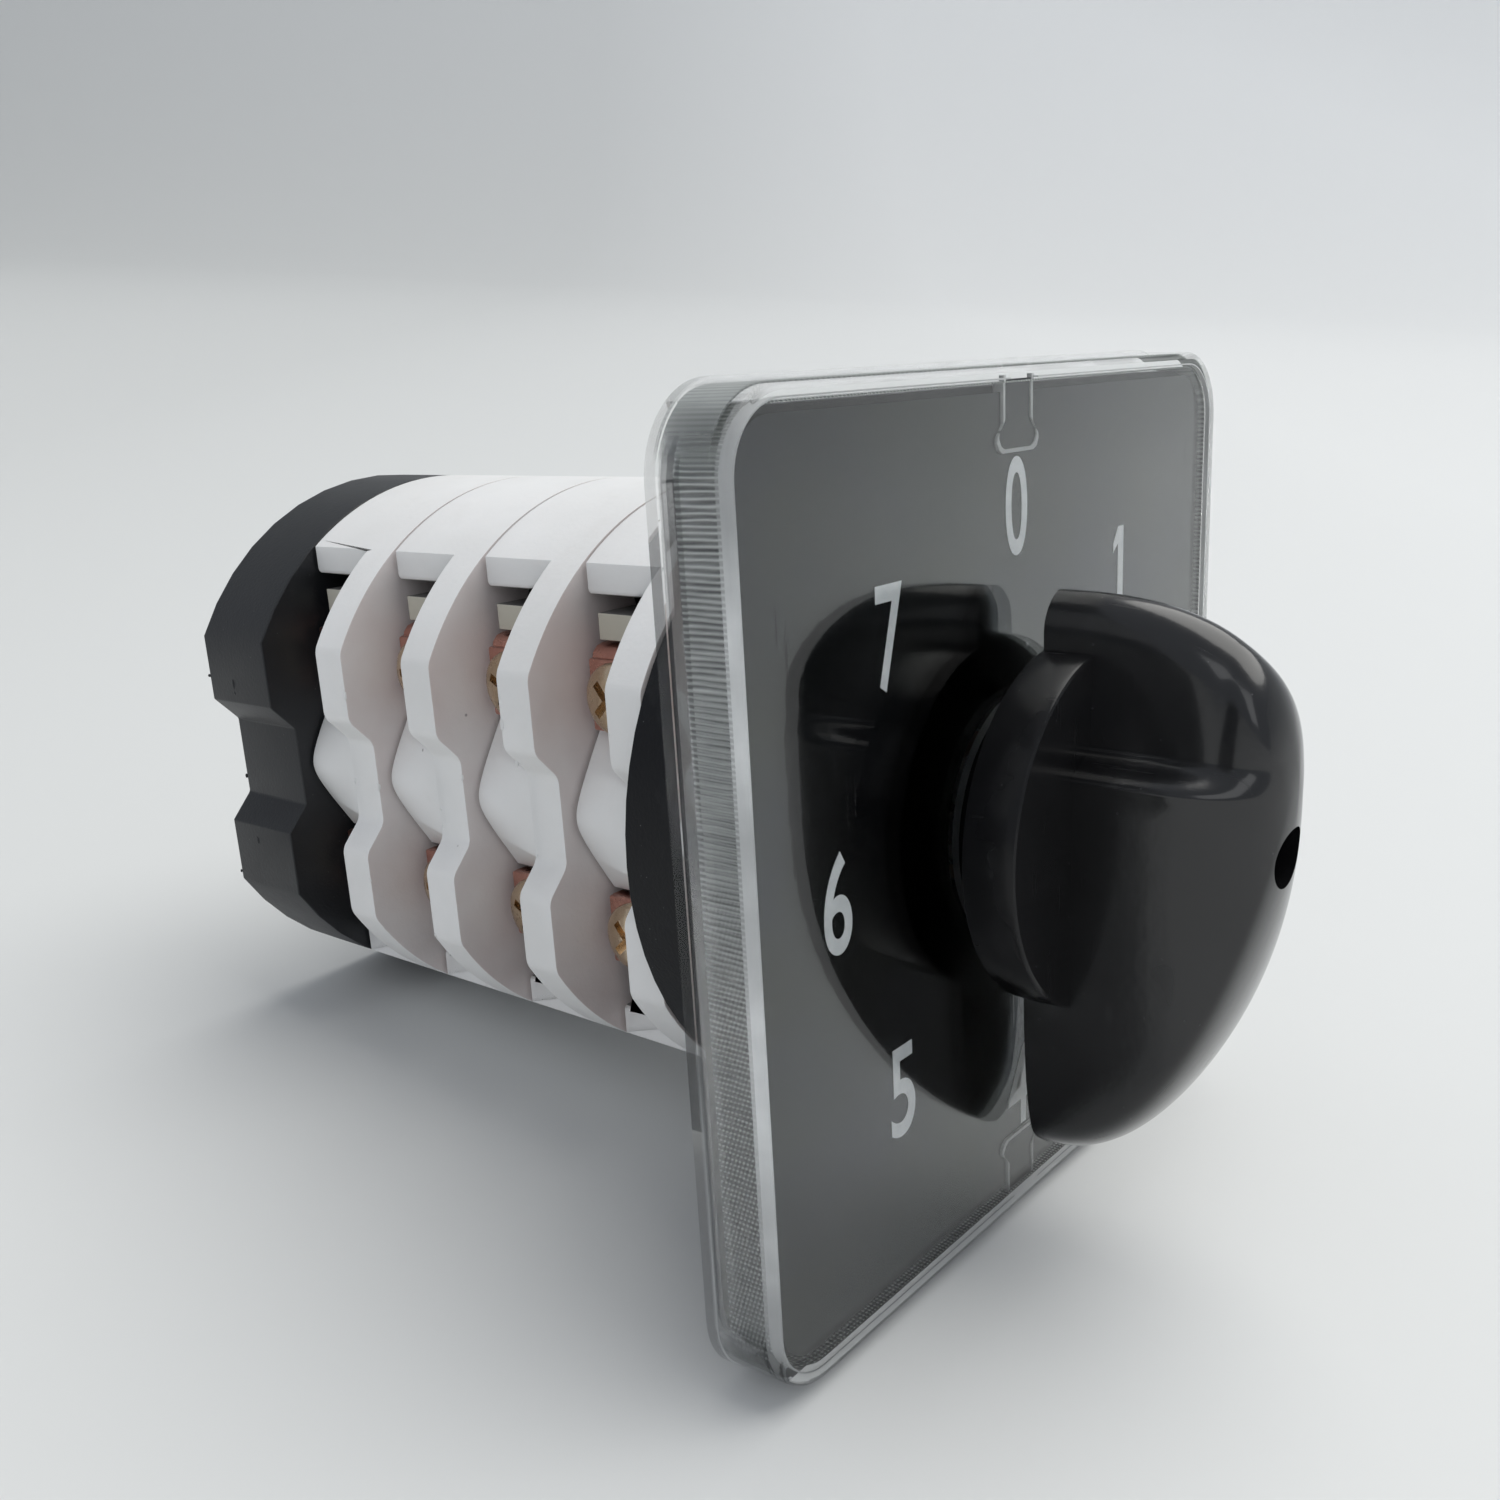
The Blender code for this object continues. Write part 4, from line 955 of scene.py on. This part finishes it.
def wedge(side):
    """Barrier between the upper and lower terminal: it grows out of the flange's notch into a blunt nose."""
    nose_length = 3.3 * MM
    blunt = 0.22

    def nose(height):
        return nose_length * (1 - (sqrt(height ** 2 + blunt ** 2) - blunt) / (sqrt(1 + blunt ** 2) - blunt))

    def skin(across, along):
        height = 2 * across - 1
        shoulder = min(1.0, (1 - abs(height)) / (1 - NOTCH_FLOOR / LEDGE))
        front = (SIDE_FLAT - NOTCH_DEPTH - CORE - 0.05 * MM) * shoulder
        y = FLANGE - OVERLAP + (SECTION - FLANGE + 0.57 * MM) * along
        x = CORE + max(front + (nose(height) - front) * along, 0.02 * MM)
        return Vector((side * x, y, (LEDGE - 0.02 * MM) * height))

    bm = formed(54, 10, skin)
    grown = bmesh.ops.extrude_face_region(bm, geom=bm.faces[:], use_keep_orig=True)
    for item in grown["geom"]:
        if isinstance(item, bmesh.types.BMVert):
            item.co.x = side * (CORE - OVERLAP)
    return outward(bm)


def outlined(points):
    """Flat face in the XZ plane with the given outline."""
    bm = bmesh.new()
    line = [bm.verts.new((x, 0, z)) for x, z in points]
    edges = [bm.edges.new(pair) for pair in zip(line, line[1:] + line[:1])]
    bmesh.ops.contextual_create(bm, geom=edges)
    return bm


def chamber_outline():
    """Well of the cam, guides of the plungers, contact chambers, terminal seats and spring pockets."""
    well, guide = 9.6, 3.2
    guide_top, seat, outside = 11.4 * MM, 13.3 * MM, 25 * MM
    chamber_top, pocket, pocket_top = 17.2 * MM, 2.7 * MM, 21.9 * MM
    end = pi / 2 - asin(guide / well)
    turns = [step / 16 * end for step in range(17)]
    quarter = [(well * cos(turn) * MM, well * sin(turn) * MM) for turn in turns]
    quarter += [(guide * MM, guide_top), (seat, guide_top), (seat, LEDGE), (outside, LEDGE),
                (outside, TERMINAL_TOP), (CHAMBER, TERMINAL_TOP), (CHAMBER, SHELF_TOP), (outside, SHELF_TOP),
                (outside, ARC_FLOOR), (CHAMBER, ARC_FLOOR), (CHAMBER, chamber_top), (pocket, chamber_top),
                (pocket, pocket_top)]
    half = quarter + [(-x, z) for x, z in reversed(quarter)]
    return half + [(-x, -z) for x, z in half[1:-1]]


def section_body():
    """Moulding of one contact section, from y = 0, with its chamber walls, flange front and shelf marked for
    their darker finishes of painted shade.
    """
    shelf_middle, shelf_half = 14.2 * MM, 1.25 * MM
    bearing = 5.7 * MM
    body = drawn_out(notched_face(0.5 * MM), 0, FLANGE)
    core = drawn_out(trimmed(round_face(), CORE), FLANGE - OVERLAP, SECTION - FLANGE + OVERLAP)
    body = cut_out(body, core, operation="UNION")
    body = cut_out(body, drawn_out(outlined(chamber_outline()), FLANGE, SECTION))
    body = cut_out(body, turned([(0, -MM), (bearing, -MM), (bearing, SECTION), (0, SECTION)], 48))
    for level in (shelf_middle, -shelf_middle):
        for side in (1, -1):
            setback = block((9.3 * MM, 25 * MM), (SECTION - 0.8 * MM, SECTION + MM),
                            (level - shelf_half, level + shelf_half))
            if side < 0:
                rotated(setback, pi, "Y", (0, 0, level))
            body = cut_out(body, setback)
    bmesh.ops.remove_doubles(body, verts=body.verts, dist=1e-6)
    bmesh.ops.dissolve_limit(body, angle_limit=radians(0.6), verts=body.verts, edges=body.edges)
    lips = []
    for edge in body.edges:
        heights = [abs(vert.co.z) for vert in edge.verts]
        level = abs(edge.verts[0].co.z - edge.verts[1].co.z) < NEAR
        at_side = all(abs(abs(vert.co.x) - CORE) < NEAR for vert in edge.verts)
        at_arc = all(abs(height - ARC_FLOOR) < NEAR or height > ARC_FLOOR + 2 * MM for height in heights)
        if level and at_side and at_arc:
            lips.append(edge)
    rounded(body, lips, 0.45 * MM, 3, "EDGES")
    # Painted shade: chamber walls and the slot get a dark grey copy of the white; flange fronts and shelves
    # get darker copies.
    chamber_shade, flange, shelf = 1, 2, 3
    for face in body.faces:
        middle = face.calc_center_median()
        aside, height = abs(middle.x), abs(middle.z)
        inside = aside < 14.05 * MM and height < 17.25 * MM and middle.y > FLANGE - 0.01 * MM
        slot = SHELF_TOP - 0.1 * MM < height < ARC_FLOOR + 0.1 * MM and aside < CORE
        if inside or (slot and abs(face.normal.z) > 0.9 and middle.y > FLANGE):
            face.material_index = chamber_shade
        elif face.normal.y < -0.9 and middle.y < 0.1 * MM:
            face.material_index = flange
        elif aside > CHAMBER and TERMINAL_TOP < height < SHELF_TOP and abs(face.normal.x) > 0.9:
            face.material_index = shelf
    return joined(body, wedge(1), wedge(-1))


def contact_sections():
    """The four contact sections: the same moulding, one behind the other."""
    body = section_body()
    finishes = [white_plastic, chamber_shade_white, shaded_flange_white, shaded_shelf_white]
    for number in SECTION_NUMBERS:
        solid = f"contact_base_{number}"
        bm = body.copy()
        shifted(bm, (0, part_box(solid)[0].y, AXIS_Z))
        made = piece(f"section_moulding_{number}", bm, finishes, "stack", (solid,), 30)
        soft_edges(made, 0.22 * MM)
    body.free()


contact_sections()
softened("detent_housing", shaded_housing_black, 0.00018)
softened("rear_cap", satin_black, 0.0003)


def bolt_heads():
    """Slotted heads of the two tie bolts, sunk in the rear cap."""
    for number, twist in ((1, 35), (2, 112)):
        low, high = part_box(f"tie_bolt_{number}")
        middle = (low + high) / 2
        reach = (high.x - low.x) / 2
        top, head, shank = high.y, high.y - 1.55 * MM, 1.25 * MM
        bm = turned([(0, low.y), (shank, low.y), (shank, head), (reach, head), (reach, top - 0.42 * MM),
                     (reach - 0.08 * MM, top - 0.22 * MM), (reach - 0.3 * MM, top - 0.07 * MM),
                     (reach - 0.62 * MM, top), (0, top)], 40)
        slot = block((-reach - MM, reach + MM), (top - 0.55 * MM, top + MM), (-0.27 * MM, 0.27 * MM))
        rotated(slot, radians(twist), "Y")
        bm = cut_out(bm, slot)
        shifted(bm, (middle.x, 0, middle.z))
        piece(f"tie_bolt_screw_{number}", bm, zinc_steel, "stack", (f"tie_bolt_{number}",), 32)


bolt_heads()


def burrs(name, start, depth, count, seed, finish):
    """Small moulding burrs along both edges of a notched rim."""
    chance = Random(seed)
    bm = bmesh.new()
    for _ in range(count):
        height = chance.uniform(-13.5, 13.5) * MM
        side = chance.choice((1, -1))
        inside = max(0.0, min(1.0, (NOTCH_MOUTH - abs(height)) / (NOTCH_MOUTH - NOTCH_FLOOR)))
        reach = min(SIDE_FLAT, sqrt(RADIUS ** 2 - height ** 2)) - NOTCH_DEPTH * inside
        bump = bmesh.new()
        bmesh.ops.create_icosphere(bump, subdivisions=2, radius=chance.uniform(0.1, 0.24) * MM)
        bmesh.ops.scale(bump, vec=(0.8, 0.9, chance.uniform(0.8, 2.6)), verts=bump.verts)
        for vert in bump.verts:
            vert.co *= chance.uniform(0.85, 1.15)
        edge = start + (0.12 * MM if chance.random() < 0.5 else depth - 0.12 * MM)
        shifted(bump, (side * (reach - 0.05 * MM), edge, AXIS_Z + height))
        bm = joined(bm, bump)
    piece(name, bm, finish, "stack", (), 60)


for number in SECTION_NUMBERS:
    flange_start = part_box(f"contact_base_{number}")[0].y
    burrs(f"flange_burrs_{number}", flange_start, FLANGE, 9, 40 + number, white_plastic)
burrs("cap_burrs", cap_low.y + 5.2 * MM, 4.0 * MM, 12, 61, satin_black)


# Terminals and their screws

STRIP_FACE = CORE + 0.6 * MM
SCREW_HEIGHT = 9.3 * MM
CLAMP = 0.7 * MM
RECESS_HALF = 0.33 * MM
RECESS_ARM = 1.7 * MM


def terminal_screw():
    """Screw of the upper left terminal: square clamp plate, pan head and cross recess."""
    x = -STRIP_FACE
    clamp = block((x - CLAMP, x - 0.02 * MM), (-3.05 * MM, 3.05 * MM),
                  (SCREW_HEIGHT - 2.75 * MM, SCREW_HEIGHT + 2.75 * MM))
    rounded(clamp, clamp.edges[:], 0.22 * MM, 2, "EDGES")
    head = turned([(radius * MM, rise * MM) for radius, rise in
                   ((0, -0.6), (2.0, -0.6), (2.5, -0.1), (2.7, 0.1), (2.72, 0.5), (2.6, 0.85), (2.3, 1.1),
                    (1.7, 1.28), (0.9, 1.37), (0, 1.4))], 44)
    rotated(head, pi / 2, "Z")
    shifted(head, (x - CLAMP, 0, SCREW_HEIGHT))
    for wide, tall in ((RECESS_ARM, RECESS_HALF), (RECESS_HALF, RECESS_ARM)):
        arm = block((x - 3.2 * MM, x - 1.15 * MM), (-wide, wide), (SCREW_HEIGHT - tall, SCREW_HEIGHT + tall))
        rotated(arm, radians(20), "X", (0, 0, SCREW_HEIGHT))
        head = cut_out(head, arm)
    return clamp, head


def terminals():
    """Sixteen terminals, each with the clamp plate and screw of the upper left one turned to its place."""
    turns = {"upper_left": None, "upper_right": "Z", "lower_left": "X", "lower_right": "Y"}
    clamp, head = terminal_screw()
    for number in SECTION_NUMBERS:
        for corner, axis in turns.items():
            solid = f"terminal_{number}_{corner}"
            low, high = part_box(solid)
            softened(solid, copper, 0.00018)
            twist = radians((number * 67 + len(corner) * 41) % 90)
            for part, finish, word in ((clamp, copper, "clamp"), (head, brass, "screw")):
                bm = part.copy()
                if word == "screw":
                    rotated(bm, twist, "X", (0, 0, SCREW_HEIGHT))
                if axis:
                    rotated(bm, pi, axis)
                shifted(bm, (0, (low.y + high.y) / 2, AXIS_Z))
                piece(f"terminal_{word}_{number}_{corner}", bm, finish, "stack", (), 32)
    clamp.free()
    head.free()


terminals()


# Springs

def pressed_springs():
    """Coil springs behind the detent plungers and moving contacts, copied from the solids that the joints
    list as deforming; in the switch they shorten as these slide outward.
    """
    for joint in frame["record"]["behaviour"]["joints"]:
        for moved in joint.get("deforming_nodes", []):
            name = moved["node"]
            body = nodes[name]["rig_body"]
            made = piece(name + "_coil", copied(name), zinc_steel, body, (name,), 50)
            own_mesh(made)


pressed_springs()


# Floor, light and camera

def pale_floor():
    """Pale tabletop that runs up behind into a backdrop, tipped so that cover and rear cap both touch it."""
    finish = Finish("pale_tabletop")
    x, y, z = finish.axes()
    # Painted light: the tabletop darkens towards the left and lightens towards the right and up the backdrop.
    rightward = (x * 0.605 - y * 0.741) * MM
    right = rightward.spread(-2.2, 2.2)
    height = (z * MM).spread(0.02, 1.2)
    near = rightward.spread(-0.22, 0.22, -1.0, 1.0)
    base = finish.mix(right + near * 0.12 + height * 0.5, (0.42, 0.43, 0.425), (0.96, 0.965, 0.96))
    cloud = finish.noise(3.0, 3.0, 0.5)
    paint = finish.finished(Base_Color=base, Roughness=0.55 + cloud * 0.1, Specular_IOR_Level=0.3)
    rear_foot = Vector((0, cap_high.y, cap_low.z))
    foot = Vector((0, LIP, cover_low.z))
    slope = (rear_foot - foot).normalized()
    up = Vector((0, -slope.z, slope.y))
    away = Vector((0.74097, 0.60511, 0))
    away = (away - up * away.dot(up)).normalized()
    aside = away.cross(up)

    def swept(length, flat, radius):
        """Distance and height after a path that runs flat and then curves up into a wall."""
        turn = min(max(0.0, length - flat) / radius, pi / 2)
        wall = max(0.0, length - flat - radius * pi / 2)
        return min(length, flat) + radius * sin(turn), radius * (1 - cos(turn)) + wall

    def laid(across, along):
        """The floor from 3 m in front to 6 m behind and 6 m to either side, a hair below the switch."""
        far, rise = swept(-3.0 + 9.0 * across, 1.7, 1.5)
        wide, side_rise = swept(-6.0 + 12.0 * along, 1.4, 2.6)
        return foot + away * far + aside * wide + up * (rise + side_rise - 0.05 * MM)

    bm = formed(60, 60, laid)
    bmesh.ops.recalc_face_normals(bm, faces=bm.faces)
    if min(bm.faces, key=lambda face: face.calc_center_median().z).normal.z < 0:
        bmesh.ops.reverse_faces(bm, faces=bm.faces)
    mesh = as_mesh("tabletop", bm)
    mesh.materials.append(paint)
    mesh.shade_smooth()
    floor = linked("tabletop", mesh)


def lamp(name, kind, place, towards, **settings):
    """A light at a place, turned to shine in a direction."""
    made = linked(name, configured(bpy.data.lights.new(name, kind), **settings))
    made.location = place
    made.rotation_euler = Vector(towards).to_track_quat("-Z", "Y").to_euler()


pale_floor()
lamp("overhead_sky", "SUN", (0, 0, 0), (-0.42, 0.22, -1.0), energy=2.3, angle=radians(60),
     color=(1.0, 0.988, 0.95))
window = Vector((-0.62, -0.36, 0.50))
lamp("window_left", "AREA", window, Vector((0, 0, AXIS_Z)) - window, shape="RECTANGLE", size=0.45,
     size_y=0.60, energy=0.85, color=(0.98, 0.99, 1.0))
bpy.context.scene.view_settings.view_transform = "Standard"

world = bpy.data.worlds.new("soft_room")
bpy.context.scene.world = world
world.use_nodes = True
background = world.node_tree.nodes["Background"]
background.inputs["Color"].default_value = (0.855, 0.912, 1.0, 1)
background.inputs["Strength"].default_value = 0.46

camera = linked("photo_camera", bpy.data.cameras.new("photo_camera"))
configured(camera.data, sensor_width=36.0, lens=35.6482, shift_x=-0.0210084, shift_y=0.0422054,
           clip_start=0.005, clip_end=20)
bpy.context.scene.camera = camera
camera.matrix_world = Matrix((
    (0.6201717, 0.2575935, -0.7409674, -0.0907225),
    (-0.7829414, 0.1443877, -0.6051074, -0.0772455),
    (-0.0488852, 0.9554045, 0.2912257, 0.0322974 + AXIS_Z),
    (0, 0, 0, 1),
))
